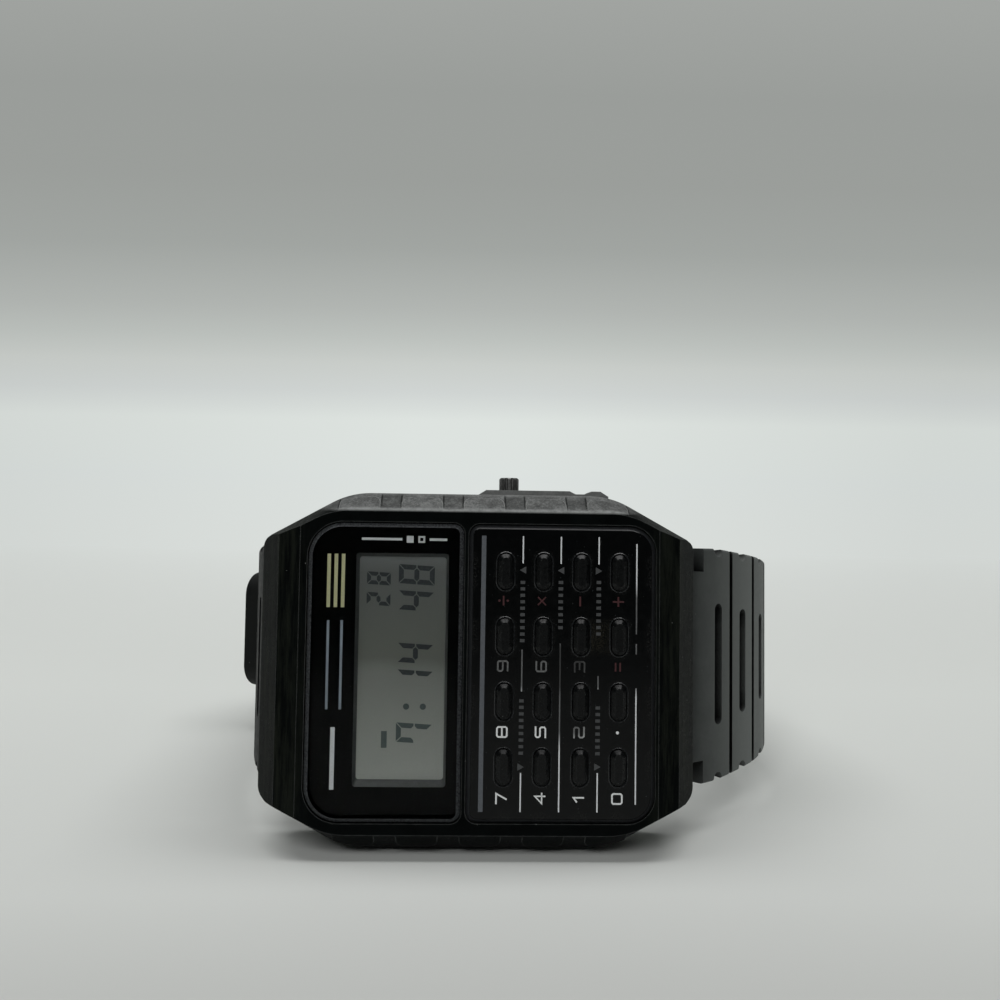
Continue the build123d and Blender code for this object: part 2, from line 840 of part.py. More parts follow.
# Strap routes: chains of straight runs and arcs in the side view, X across and depth behind the face
class Route:
    """A smooth side-view route. Each span has its start, heading in degrees, length and turn."""

    def __init__(self, x, depth, heading):
        self.point = Vector(x, depth)
        self.heading = heading
        self.spans = []
        self.length = 0

    def go(self, length, turn=0):
        """Add one span, straight or round."""
        self.spans.append((self.length, self.point, self.heading, length, turn))
        self.point = self.place(self.length + length)[0]
        self.heading += turn
        self.length += length

    def bend(self, radius, turn):
        """Add a round span of a given radius."""
        self.go(radius * math.radians(turn), turn)

    def reach(self, x, depth, heading):
        """Add two arcs that meet smoothly and end at a place with a heading."""
        chord = Vector(x, depth) - self.point
        start = direction(self.heading)
        end = direction(heading)
        gap = chord.dot(start + end)
        square = 2 * (1 - start.dot(end))
        reach = chord.dot(chord)
        if square > rounding:
            step = (math.sqrt(gap * gap + square * reach) - gap) / square
        else:
            step = reach / (2 * gap)
        middle = (self.point + Vector(x, depth) + (start - end) * step) * 0.5
        for target in (middle, Vector(x, depth)):
            leap = target - self.point
            angle = math.degrees(math.atan2(leap.Y, leap.X)) - self.heading
            angle = (angle + 180) % 360 - 180
            share = 1
            if abs(angle) > rounding:
                share = math.radians(angle) / math.sin(math.radians(angle))
            self.go(leap.length * share, 2 * angle)

    def place(self, along):
        """Return the point and heading at a length along the route."""
        for start, point, heading, length, turn in reversed(self.spans):
            if along >= start or start == 0:
                share = (along - start) / length
                half = math.radians(turn * share) / 2
                chord = along - start
                if abs(half) > rounding:
                    chord *= math.sin(half) / half
                return point + direction(heading + turn * share / 2) * chord, heading + turn * share
        return self.point, self.heading

    def offset(self, along, outward):
        """Return the point beside the route, outward of the loop."""
        point, heading = self.place(along)
        return point + direction(heading - 90) * outward

    def plane(self, along):
        """Return the plane that lies on the route, its X along it and its Z outward."""
        point, heading = self.place(along)
        ahead = direction(heading)
        out = direction(heading - 90)
        return Plane(
            origin=(point.X, 0, front_z - point.Y),
            x_dir=(ahead.X, 0, -ahead.Y),
            z_dir=(out.X, 0, -out.Y),
        )


def direction(degrees):
    angle = math.radians(degrees)
    return Vector(math.cos(angle), math.sin(angle))


def ribbon(route, thickness, width, start, end):
    """Return a band of even thickness and width along part of a route."""
    stops = [start] + [s[0] for s in route.spans if start < s[0] < end] + [end]

    def side(outward, marks):
        edges = []
        for a, b in zip(marks, marks[1:]):
            points = [route.offset(s, outward) for s in (a, (a + b) / 2, b)]
            points = [Vector(p.X, -width / 2, front_z - p.Y) for p in points]
            bow = (points[1] - (points[0] + points[2]) * 0.5).length
            if bow < rounding:
                edges.append(Edge.make_line(points[0], points[2]))
            else:
                edges.append(Edge.make_three_point_arc(*points))
        return edges

    outer = side(thickness / 2, stops)
    inner = side(-thickness / 2, stops)
    caps = [Edge.make_line(outer[k] @ k_end, inner[k] @ k_end) for k, k_end in ((0, 0), (-1, 1))]
    face = Face(Wire(outer + inner + caps))
    return extrude(face, width, dir=(0, 1, 0))


def strap_routes():
    """Return the long strap's route from its spring bar and the short strap's from the buckle pin."""
    bar_depth = front_z - bar_height
    long_route = Route(bar_place_x, bar_depth, long_strap_start_angle)
    long_route.reach(long_strap_side_x, long_strap_side_depth, 90)
    long_route.reach(buckle_run_start, buckle_run_depth, 180)
    run_start = long_route.length
    long_route.go(buckle_run_length)
    long_route.bend(rear_bend_radius, rear_bend_angle)
    keeper_start = long_route.length
    long_route.go(keeper_run_length)
    long_route.reach(tail_tip_x, tail_tip_depth, tail_tip_angle)
    step = strap_thickness + strap_overlap_gap
    lead = buckle_run_lead + frame_reach
    short_run = buckle_run_length - lead
    short_x = buckle_run_start - lead
    short_route = Route(short_x, buckle_run_depth - step, 180)
    short_route.go(short_run)
    short_route.bend(rear_bend_radius - step, rear_bend_angle)
    short_route.go(keeper_run_length)
    short_route.reach(short_strap_side_x, short_strap_side_depth, 270)
    short_route.reach(-bar_place_x, bar_depth, short_strap_start_angle)
    return long_route, short_route, run_start, keeper_start


long_route, short_route, buckle_run_mark, keeper_mark = strap_routes()


def width_limits(points, low_x, high_x):
    """Return the solid that bounds a strap's width by depth, between two places along X."""
    outline = [(half, front_z - depth) for depth, half in points]
    bends = [z for _, z in outline[1:-1]]
    outline += [(-half, z) for half, z in reversed(outline)]
    face = make_face(Polyline(*outline, close=True))
    corners = [v for v in face.vertices() if min(abs(v.Y - z) for z in bends) < rounding]
    face = fillet(corners, strap_taper_round)
    return Pos(low_x, 0, 0) * extrude(Plane.YZ * face, high_x - low_x)


def knuckle(route, along, radius, width):
    """Return the round end of a strap about its bar."""
    return route.plane(along).location * Rot(X=90) * Cylinder(radius, width)


def cross_groove(route, along, outward):
    """Return the cutter of a groove across the strap's outer face."""
    box = Box(section_groove_width, strap_width + 2 * overrun, 2 * section_groove_depth)
    return route.plane(along).location * Pos(0, 0, outward) * box


def strap_slot(route, along, length, width):
    """Return the cutter of a round-ended slot across the strap."""
    cutter = extrude(stadium(width, length), 2 * strap_thickness, both=True)
    return route.plane(along).location * cutter


def edge_notches(route, along, half_width):
    """Return the cutters of the half-round notches in both edges."""
    hole = Cylinder(notch_radius, 4 * strap_thickness)
    return [route.plane(along).location * Pos(0, side * half_width, 0) * hole for side in (-1, 1)]


def long_edges(strap):
    """Return the edges that run along a strap, for rounding."""
    sides = strap.faces().filter_by(lambda f: abs(f.normal_at().Y) > 0.9)
    return [edge for face in sides for edge in face.edges() if edge.length > 1.5 * strap_thickness]


def tail_slope():
    """Return how fast half the tail's width grows with depth, from its tip."""
    return (strap_rear_width - strap_tip_width) / 2 / (tail_taper_depth - tail_tip_depth)


def round_tip(tail):
    """Round the two corners of the tail's tapered free end."""
    end = long_route.plane(long_route.length).location
    taper = math.atan(tail_slope() * abs(direction(tail_tip_angle).Y))
    start = -strap_tip_corner * (1 - math.sin(taper))
    core_y = strap_tip_width / 2 + start / math.cos(taper)
    outer_y = strap_tip_width / 2 + overrun
    for side in (-1, 1):
        block = Box(overrun - start, outer_y - core_y, 4 * strap_thickness)
        block = Pos((overrun + start) / 2, side * (outer_y + core_y) / 2, 0) * block
        core = Pos(-strap_tip_corner, side * core_y, 0) * Cylinder(strap_tip_corner, 8 * strap_thickness)
        tail -= end * (block - core)
    return tail


def half_width_at(depth):
    """Return the strap's half width at a depth behind the face."""
    share = (depth - strap_taper_start) / (strap_taper_end - strap_taper_start)
    share = min(max(share, 0), 1)
    return (strap_width + (strap_waist_width - strap_width) * share) / 2


def decorate(strap, route, first, step, count):
    """Cut the cross grooves, the slots and the edge notches of a strap's sections."""
    for index in range(count):
        middle = first + step * (index + 0.5)
        depth = route.place(middle)[0].Y
        strap -= strap_slot(route, middle, slot_length - index * slot_shrink, slot_width)
        for notch in edge_notches(route, middle, half_width_at(depth)):
            strap -= notch
        strap -= cross_groove(route, first + step * (index + 1), strap_thickness / 2)
    return strap


def make_long_strap():
    """Return the 6 o'clock strap, from its knuckle round the loop to the tail's tip."""
    rear_depth = buckle_run_depth + 2 * strap_thickness
    split_x = buckle_run_start - buckle_run_lead
    split = buckle_run_mark + buckle_run_lead
    root = ribbon(long_route, strap_thickness, strap_tongue_width, 0, strap_shoulder + overrun)
    main = ribbon(long_route, strap_thickness, strap_width, strap_shoulder, split)
    main &= width_limits(
        [
            (0, strap_width / 2),
            (strap_taper_start, strap_width / 2),
            (strap_taper_end, strap_waist_width / 2),
            (buckle_run_depth - rear_bend_radius, strap_rear_width / 2),
            (rear_depth, strap_rear_width / 2),
        ],
        0,
        long_strap_side_x + 2 * strap_thickness,
    )
    tail = ribbon(long_route, strap_thickness, strap_rear_width, split, long_route.length)
    beyond = 2 * strap_thickness
    tail &= width_limits(
        [
            (tail_tip_depth - beyond, strap_tip_width / 2 - tail_slope() * beyond),
            (tail_taper_depth, strap_rear_width / 2),
            (rear_depth, strap_rear_width / 2),
        ],
        tail_tip_x - beyond,
        split_x + overrun,
    )
    main = fillet(long_edges(main), strap_edge_round)
    tail = fillet(long_edges(tail), strap_edge_round)
    strap = root + main + round_tip(tail)
    strap += knuckle(long_route, 0, strap_knuckle_radius, strap_tongue_width)
    strap -= knuckle(long_route, 0, bar_radius + strap_bar_gap, 2 * strap_width)
    strap = decorate(strap, long_route, section_first, section_pitch, long_sections)
    for index in range(eyelet_count):
        mark = tongue_mark() + (index - eyelets_before_tongue) * eyelet_pitch
        strap -= strap_slot(long_route, mark, tongue_width + 2 * eyelet_slack + eyelet_swing(), eyelet_span())
    return strap


def eyelet_swing():
    """Return how far the tongue's rise moves along the strap as it lifts."""
    return (strap_thickness * 2 + strap_overlap_gap) * math.sin(math.radians(tongue_lift))


def eyelet_span():
    return tongue_thickness + 2 * eyelet_slack + eyelet_swing()


def tongue_mark():
    """Return the place along the long strap of the eyelet that the tongue goes through."""
    return buckle_run_mark + buckle_run_lead + frame_reach - tongue_rise_place + eyelet_swing() / 2


def make_short_strap():
    """Return the 12 o'clock strap, from the buckle pin back to its knuckle."""
    end = short_route.length
    shoulder = end - strap_shoulder
    root = ribbon(short_route, strap_thickness, strap_tongue_width, shoulder - overrun, end)
    main = ribbon(short_route, strap_thickness, strap_width, 0, shoulder)
    rear_depth = buckle_run_depth + 2 * strap_thickness
    main &= width_limits(
        [
            (0, strap_width / 2),
            (strap_taper_start, strap_width / 2),
            (strap_taper_end, strap_waist_width / 2),
            (buckle_run_depth - rear_bend_radius, strap_rear_width / 2),
            (rear_depth, strap_rear_width / 2),
        ],
        short_strap_side_x - 2 * strap_thickness,
        buckle_run_start,
    )
    strap = root + fillet(long_edges(main), strap_edge_round)
    strap += knuckle(short_route, end, strap_knuckle_radius, strap_tongue_width)
    strap -= knuckle(short_route, end, bar_radius + strap_bar_gap, 2 * strap_width)
    strap += knuckle(short_route, 0, strap_thickness / 2, strap_rear_width)
    strap -= knuckle(short_route, 0, pin_radius + knuckle_gap, 2 * strap_width)
    room = 2 * (pin_radius + tongue_eye_wall + tongue_slot_gap)
    slot = Box(room + strap_thickness, tongue_width + 2 * tongue_slot_gap, 2 * strap_thickness)
    strap -= short_route.plane(0).location * slot
    return decorate(strap, short_route, end - section_first, -section_pitch, short_sections)


# Buckle
def buckle_plane():
    """Return the plane at the buckle pin, its X back towards the long strap and its Z outward."""
    pin = short_route.plane(0)
    return Plane(origin=pin.origin, x_dir=-pin.x_dir, z_dir=pin.z_dir)


def bar_half_height():
    """Return half the height that the tilted far bar takes up."""
    return frame_thickness / 2 + frame_bar / 3


def far_bar_height():
    """Return how far the buckle's far bar stands outward of the pin."""
    return strap_thickness * 1.5 + strap_overlap_gap + seat_gap + bar_half_height()


def frame_tilt():
    return math.degrees(math.atan2(far_bar_height(), frame_reach))


def frame_place():
    """Return the buckle frame's own place: at the pin, tilted so that its far bar is outside."""
    return buckle_plane().location * Rot(Y=-frame_tilt())


def frame_width():
    return strap_rear_width + 2 * (frame_side_gap + frame_side)


def make_buckle_frame():
    """Return the U-shaped frame whose open ends carry the pin."""
    span = math.hypot(frame_reach, far_bar_height())
    back = -frame_heel
    front = span + frame_bar / 2
    body = Pos((front + back) / 2, 0, 0) * Box(front - back, frame_width(), frame_thickness)
    body = fillet(body.edges().filter_by(Axis.Z).group_by(Axis.X)[-1], 2 * frame_round)
    back -= overrun
    front -= frame_bar
    opening = Box(front - back, frame_width() - 2 * frame_side, 2 * frame_thickness)
    body -= Pos((front + back) / 2, 0, 0) * opening
    body -= Rot(X=90) * Cylinder(pin_radius + pin_gap, 2 * frame_width())
    return frame_place() * body


def make_pin():
    """Return the pin that the buckle and its tongue turn on."""
    return buckle_plane().location * Rot(X=90) * Cylinder(pin_radius, frame_width() - frame_round)


def make_tongue():
    """Return the tongue: an eye on the pin, a rise through the strap and a run to the far bar."""
    eye_radius = pin_radius + tongue_eye_wall
    eye = Rot(X=90) * Cylinder(eye_radius, tongue_width)
    top = far_bar_height() + bar_half_height() + running_gap
    outside = strap_thickness * 1.5 + strap_overlap_gap + seat_gap
    half = tongue_thickness / 2
    rise = tongue_rise_place
    span = frame_reach + frame_bar * 0.8
    points = [
        (0, -half),
        (rise + half, -half),
        (rise + half, outside),
        (frame_reach - frame_bar, top),
        (span, top),
        (span, top + tongue_thickness),
        (frame_reach - frame_bar, top + tongue_thickness),
        (rise - half, outside + tongue_thickness),
        (rise - half, half),
        (0, half),
    ]
    arm = prism_along_y(points, tongue_width / 2)
    body = eye + arm - Rot(X=90) * Cylinder(pin_radius + pin_gap, 2 * tongue_width)
    return buckle_plane().location * body


def make_keeper():
    """Return the loop that holds the tail down on the short strap."""
    step = (strap_thickness + strap_overlap_gap) / 2
    inner_height = 2 * strap_thickness + strap_overlap_gap + 2 * keeper_gap
    inner_width = strap_rear_width + 2 * keeper_gap
    outer = Box(keeper_length, inner_width + 2 * keeper_wall, inner_height + 2 * keeper_wall)
    outer = fillet(outer.edges().filter_by(Axis.X), 2 * keeper_round)
    ring = outer - Box(2 * keeper_length, inner_width, inner_height)
    middle = long_route.plane(keeper_mark + keeper_run_length / 2)
    return middle.location * Pos(0, 0, -step) * ring


# All nodes, lying on the case back
def make_nodes():
    nodes = {
        "case_body": make_case(),
        "display_lens": make_lens(),
        "display_mask": make_mask(),
        "keypad_panel": make_keypad_panel(),
        "key_mat": make_mat(),
        "lcd_cell": make_lcd(),
        "lcd_reflector": make_reflector(),
        "lcd_connectors": make_connectors(),
        "module_frame": make_module_frame(),
        "circuit_board": make_board(),
        "chip": make_chip(),
        "quartz_crystal": make_crystal(),
        "battery": make_battery(),
        "battery_clamp": make_clamp(),
        "buzzer_disc": make_buzzer(),
        "buzzer_spring": make_contact_spring(),
        "case_back": make_case_back(),
        "case_back_gasket": make_gasket(),
        "case_back_screws": make_screws(),
        "strap_long": make_long_strap(),
        "strap_short": make_short_strap(),
        "buckle_frame": make_buckle_frame(),
        "buckle_pin": make_pin(),
        "buckle_tongue": make_tongue(),
        "strap_keeper": make_keeper(),
    }
    key = make_key()
    for name, x, y in key_places():
        nodes["key_" + name] = Pos(x, y, 0) * key
    buttons = (
        ("mode_button", mode_button_x, mode_head_radius, case_width / 2 + mode_head_rise, mode_flutes),
        ("adjust_button", adjust_button_x, adjust_head_radius, case_width / 2 + adjust_head_rise, 0),
    )
    for name, x, radius, reach, flutes in buttons:
        nodes[name] = make_button(x, radius, reach, flutes)
        nodes[name + "_spring"] = make_button_spring(x, radius)
        nodes[name + "_clip"] = make_clip(x)
    for side, hour in ((-1, "12"), (1, "6")):
        nodes["spring_bar_" + hour] = make_barrel(side)
        for end, word in ((1, "upper"), (-1, "lower")):
            nodes[f"spring_bar_{hour}_{word}_tip"] = make_tip(side, end)
    return nodes


def as_solids(shape):
    """Return the separate solids of a node."""
    parts = shape if isinstance(shape, list) else [shape]
    return [solid for part in parts for solid in part.solids()]


# The watch stands on its 9 o'clock side: the case's back edge and the buckle touch the surface
def rest_tilt(nodes):
    buckle = nodes["buckle_frame"].bounding_box()
    rise = case_width / 2 + buckle.min.Y
    run = under_z + underside_chamfer - buckle.min.Z
    return math.degrees(math.atan2(rise, run))


def main():
    nodes = make_nodes()
    tilt = rest_tilt(nodes)
    stand = Rot(X=90 - tilt)
    stood = {name: [stand * solid for solid in as_solids(shape)] for name, shape in nodes.items()}
    box = Compound([solid for solids in stood.values() for solid in solids]).bounding_box()
    base = Pos(-(box.min.X + box.max.X) / 2, -(box.min.Y + box.max.Y) / 2, -box.min.Z)
    os.makedirs("parts", exist_ok=True)
    for name, solids in stood.items():
        moved = [base * solid for solid in solids]
        shape = moved[0] if len(moved) == 1 else Compound(moved)
        export_step(shape, f"parts/{name}.step")
    pin = base * stand * buckle_plane().location
    print("rest tilt in degrees", round(tilt, 6))
    print("buckle pin in the finished frame", pin.position)
    print("watch origin in the finished frame", (base * stand).position)
    print("long strap length", round(long_route.length, 2))
    print("short strap length", round(short_route.length, 2))


main()
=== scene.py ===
import bpy
import bmesh
import json
import math
from mathutils import Matrix, Vector


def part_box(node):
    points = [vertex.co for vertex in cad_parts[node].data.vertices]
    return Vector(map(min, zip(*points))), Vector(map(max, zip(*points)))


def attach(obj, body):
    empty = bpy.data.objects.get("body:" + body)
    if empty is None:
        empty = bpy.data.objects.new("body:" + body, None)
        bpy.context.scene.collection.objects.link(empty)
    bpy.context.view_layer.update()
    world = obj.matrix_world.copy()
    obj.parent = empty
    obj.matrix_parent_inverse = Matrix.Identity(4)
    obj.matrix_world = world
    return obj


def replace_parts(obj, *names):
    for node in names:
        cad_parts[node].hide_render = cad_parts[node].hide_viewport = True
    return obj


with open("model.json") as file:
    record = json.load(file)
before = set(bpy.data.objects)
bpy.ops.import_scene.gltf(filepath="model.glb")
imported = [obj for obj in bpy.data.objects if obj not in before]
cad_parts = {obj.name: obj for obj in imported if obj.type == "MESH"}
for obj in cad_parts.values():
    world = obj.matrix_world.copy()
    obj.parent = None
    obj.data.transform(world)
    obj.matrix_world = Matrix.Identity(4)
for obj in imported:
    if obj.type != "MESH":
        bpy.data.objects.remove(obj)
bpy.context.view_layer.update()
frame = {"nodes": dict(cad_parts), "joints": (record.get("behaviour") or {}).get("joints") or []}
nodes = frame["nodes"]

# The watch's own places are millimetres as in its source: X towards 6 o'clock, Y towards 3 o'clock,
# Z from the case back to the face. Blender's are metres in the frame, where the watch stands on its side.
MM = 0.001
LCD_PLACE = Vector((-7.54, 0, 6.4))


def watch_matrix():
    """Return the matrix from the watch's millimetres to the frame's metres, worked out from the frame."""
    press = [joint for joint in frame["joints"] if joint["child"] == "key_5"][0]["axis"]
    tilt = math.atan2(-press[2], press[1])
    turn = Matrix.Rotation(math.pi / 2 - tilt, 4, "X") @ Matrix.Scale(MM, 4)
    low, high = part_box("lcd_cell")
    return Matrix.Translation((low + high) / 2 - turn @ LCD_PLACE) @ turn


WATCH = watch_matrix()

# Camera, as fitted to the photograph: its turns against the watch and the watch's place before it
FOCAL_SHARE = 1.082
LENS_SENSOR = 36.0
FRAME_SHIFT = -0.0282
CAMERA_PITCH = math.radians(-3.25)
CAMERA_YAW = math.radians(-2.00)
CAMERA_ROLL = math.radians(0.80)
FACE_BEFORE_CAMERA = Vector((-2.00, 19.30, 104.00))
CAMERA_NEAREST = MM
CAMERA_FARTHEST = 10

# Heights and places on the watch, as in its source
FACE_HEIGHT = 8.2
PANEL_TOP = 8.32
LENS_FLOOR = 7.57
LCD_TOP = 6.9
SLOPE_START = 15.45
SLOPE_FOOT = 5.7
SLOPE_PAD_PITCH = 6.05
SLOPE_PAD_LENGTH = 3.95
SLOPE_PAD_SHIFT = 0.28
SLOPE_PAD_TOP = (7.9, 7.5)
SLOPE_TOP = (7.75, 7.95)
LEDGE_START = (16.9, 17.3)
CASE_END = (16.0, 18.0)
WORN_END = (14.8, 17.6)
KEY_ROWS = 4
KEY_COLUMNS = 4
KEY_WIDTH = 1.42
KEY_LENGTH = 3.4
KEY_PITCH_X = 3.683
KEY_PITCH_Y = 6.22
KEY_FIRST_X = 2.425
KEY_FIRST_Y = 9.72

# Fine raised rims round the key holes
KEY_GAP = 0.1
RIM_GAP = 0.02
RIM_WIDTH = 0.11
RIM_HEIGHT = 0.05
RIM_END_STEPS = 10

# Print on the panels. Digits are lines through points that run from -1 to 1, right and up.
PRINT_THICKNESS = 0.02
PRINT_GAP = 0.004
LABEL_FIRST_X = 2.25
LABEL_FIRST_Y = 6.92
LABEL_PITCH_X = 3.705
LABEL_PITCH_Y = 6.26
DIGIT_HEIGHT = 1.1
DIGIT_WIDTH = 1.1
DIGIT_STROKE = 0.155
SIGN_STROKE = 0.165
DIGIT_CUT = 0.26
SHARPEST_MITRE = 0.5
ROUND_DIGITS = "0235689"
DIGIT_LINES = {
    "0": (((0, -1), (-1, -1), (-1, 1), (1, 1), (1, -1), (0, -1)),),
    "1": (((-0.6, 0.4), (0.2, 1), (0.2, -1)),),
    "2": (((-1, 1), (1, 1), (1, 0), (-1, 0), (-1, -1), (1, -1)),),
    "3": (((-1, 1), (1, 1), (1, -1), (-1, -1)), ((-0.5, 0), (0.9, 0))),
    "4": (((0.45, -1), (0.45, 1), (-1, -0.4), (1, -0.4)),),
    "5": (((1, 1), (-1, 1), (-1, 0.1), (1, 0.1), (1, -1), (-1, -1)),),
    "6": (((0.9, 1), (-1, 1), (-1, -1), (1, -1), (1, 0), (-0.8, 0)),),
    "7": (((-1, 1), (0.95, 1), (-0.15, -1)),),
    "8": (((0, -1), (-1, -1), (-1, 1), (1, 1), (1, -1), (0, -1)), ((-0.8, 0), (0.8, 0))),
    "9": (((-0.9, -1), (1, -1), (1, 1), (-1, 1), (-1, 0), (0.8, 0)),),
}
LABELS = (
    ("divide", "times", "minus", "plus"),
    ("9", "6", "3", "equals"),
    ("8", "5", "2", "point"),
    ("7", "4", "1", "0"),
)
POINT_RADIUS = 0.9 * SIGN_STROKE
SIGN_LENGTH = 0.85 * DIGIT_HEIGHT
DIVIDE_DOT_PLACE = 0.36 * DIGIT_HEIGHT
DIVIDE_DOT_RADIUS = 0.7 * SIGN_STROKE
EQUALS_PLACE = 0.2 * DIGIT_HEIGHT
EQUALS_LENGTH = 0.75 * DIGIT_HEIGHT
TIMES_REACH = 0.5 * DIGIT_HEIGHT
TIMES_HALF_STROKE = 0.4 * SIGN_STROKE

# Lines are rows of (column, upper end, lower end), arrows (column, place, way they point)
LINE_FIRST_X = 4.09
LINE_WIDTH = 0.125
LINE_TOP = 13.15
LINE_BOTTOM = -13.14
LINES = (
    (0, LINE_TOP, 10.53),
    (0, 2.25, -1.74),
    (0, -9.45, LINE_BOTTOM),
    (1, LINE_TOP, 10.52),
    (1, 2.87, LINE_BOTTOM),
    (2, LINE_TOP, 10.51),
    (2, -0.21, -1.48),
    (2, -9.43, LINE_BOTTOM),
    (3, 12.53, 3.83),
    (3, 2.9, 1.9),
    (3, -1.35, -12.39),
)
BAR_X = 0.29
BAR_WIDTH = 0.44
ARROW_LENGTH = 0.62
ARROW_WIDTH = 0.7
ARROWS = ((0, 9.88, -1), (1, 9.88, -1), (2, 9.88, 1), (0, -8.9, 1), (2, -8.85, 1))
TICK_WIDTH = 0.44
TICK_STEP = 0.62
TICK_LENGTH = 0.3
TICK_ROWS = ((0, 9.0, 2.74), (0, -2.32, -8.22), (1, 9.04, 3.46), (2, 9.09, 3.2), (2, -2.94, -8.17))

# The display: digits stand across the window, their tops towards 12 o'clock
SEGMENT_HEIGHT = 3.5
SEGMENT_WIDTH = 1.86
SEGMENT_STROKE = 0.48
SEGMENT_GAP = 0.06
SEGMENT_SLANT = 0.06
SEGMENTS = {"1": "bc", "4": "fgbc", "7": "abcf", "8": "abcdefg", "2": "abged"}
TIME_X = -6.2
TIME = (("7", -6.04), ("1", -0.95), ("4", 1.62), ("4", 6.7), ("8", 9.24))
COLON_PLACES = ((-7.01, -3.49), (-5.39, -3.49))
COLON_RADIUS = 0.3
DAY_X = -9.88
DAY = (("2", 6.85), ("8", 8.85))
DAY_SHARE = 0.66
HALF_DAY_PLACE = (-9.1, -6.65)
HALF_DAY_SIZE = (0.55, 1.6)

# The window in the black plate behind the lens, and the frame that slopes down in it to the display
WINDOW_LOW = Vector((-12.05, -11.05))
WINDOW_HIGH = Vector((-3.08, 11.4))
WINDOW_CORNERS = (0.3, 0.3)
WINDOW_SLOPES_LOW = Vector((0.3, 0.6))
WINDOW_SLOPES_HIGH = Vector((0.24, 0.42))
PLATE_CORNERS = (3.2, 0.9)
PLATE_GAP = 0.012
FRAME_GAP = 0.03

# Plain marks that fill the places of words on the display panel: stripes are (place across, width)
GOLD_STRIPES = ((-14.66, 0.34), (-13.97, 0.34), (-13.28, 0.34))
GOLD_SPAN = (6.06, 11.2)
THIN_STRIPES = ((-14.63, 0.24), (-13.33, 0.24))
THIN_SPAN = (-3.7, 4.8)
WIDE_STRIPES = ((-13.98, 0.42),)
WIDE_SPAN = (-11.3, -5.4)
FUNCTION_Y = 12.69
SQUARE_SIZE = 0.66
SQUARE_PLACES = (-6.88, -5.76)
SQUARE_RIM = 0.17
FUNCTION_STRIPES = ((-9.6, 3.9), (-4.14, 1.7))
FUNCTION_STRIPE_WIDTH = 0.24

# Where a dark reflection is painted across the keypad's print, where the print is soiled, and where a patch
# of dust lies
DARK_REFLECTION_LOW = (-2.3, -1.2)
DARK_REFLECTION_HIGH = (8.8, 7.3)
DARK_REFLECTION_SHARE = (0.82, 0.92)
SOILED_PLACE = 8.8
SOILED_REACH = (1.2, 2.0)
SOILED_LOW = (-7.4, -5.6)
SOILED_HIGH = (3.4, 2.4)
SOILED_SHARE = 0.86
DUST_PLACE = (11.0, 3.5)
DUST_REACH = (0.57, 1.9)

# Colours of the case. The edge colours are worn edges lightened as a painted highlight, the streak is a
# painted reflection and the gap colour is painted shade
CASE_BLACK = (0.002, 0.0026, 0.0026)
CASE_CLOUD = (0.0034, 0.00442, 0.00442)
CASE_EDGE_WEAR_AND_HIGHLIGHT = (0.085, 0.09, 0.088)
CASE_DUST = (0.3, 0.31, 0.3)
CASE_REFLECTION_STREAK = (0.02, 0.023, 0.017)
WORN_DARK = (0.06, 0.062, 0.061)
WORN_LIGHT = (0.185, 0.19, 0.187)
WORN_PATCH = (0.27, 0.28, 0.273)
WORN_GAP_SHADE = (0.018, 0.019, 0.018)
WORN_EDGE_AND_HIGHLIGHT = (0.3, 0.31, 0.305)
LEDGE_GREY = (0.24, 0.245, 0.24)

# Colours of the strap: a painted reflection lightens it towards its far side at 6 o'clock, and painted shade
# makes it darkest at its tail
STRAP_DARK = (0.031, 0.034, 0.0335)
STRAP_LIGHT = (0.05, 0.055, 0.053)
STRAP_REFLECTION = (0.16, 0.172, 0.166)
STRAP_REFLECTION_FROM = (22.0, 30.0)
STRAP_TAIL_SHADE = (0.005, 0.0058, 0.0055)
STRAP_TAIL_SHADE_FROM = (-16.0, -20.0)
STRAP_EDGE_WEAR_AND_HIGHLIGHT = (0.11, 0.115, 0.112)
STRAP_DUST = (0.26, 0.27, 0.26)
STRAP_HOLLOW_SHADE = (0.001, 0.0012, 0.0012)
STRAP_HOLLOW_SHADE_REACH = 2.2

# Colours of the keypad, the keys and the lens. The key and lens edge colours are lightened as a painted
# highlight
KEYPAD_BLACK = (0.001, 0.0013, 0.0015)
KEYPAD_GRIME = (0.06, 0.06, 0.056)
KEYPAD_SAND = (0.11, 0.1, 0.065)
KEYPAD_BEVEL = (0.045, 0.048, 0.052)
KEYPAD_DUST = (0.22, 0.24, 0.25)
KEY_BLACK = (0.0018, 0.0022, 0.0024)
KEY_EDGE_WEAR_AND_HIGHLIGHT = (0.05, 0.054, 0.054)
KEY_DUST = (0.2, 0.21, 0.22)
LENS_CLEAR = (0.97, 0.985, 0.98)
LENS_EDGE_DARK = (0.012, 0.013, 0.014)
LENS_EDGE_HIGHLIGHT = (0.085, 0.09, 0.095)
MASK_DARK = (0.0006, 0.0007, 0.0008)
MASK_LIGHT = (0.0018, 0.002, 0.0022)
FRAME_DARK = (0.025, 0.027, 0.027)
FRAME_LIGHT = (0.05, 0.053, 0.053)

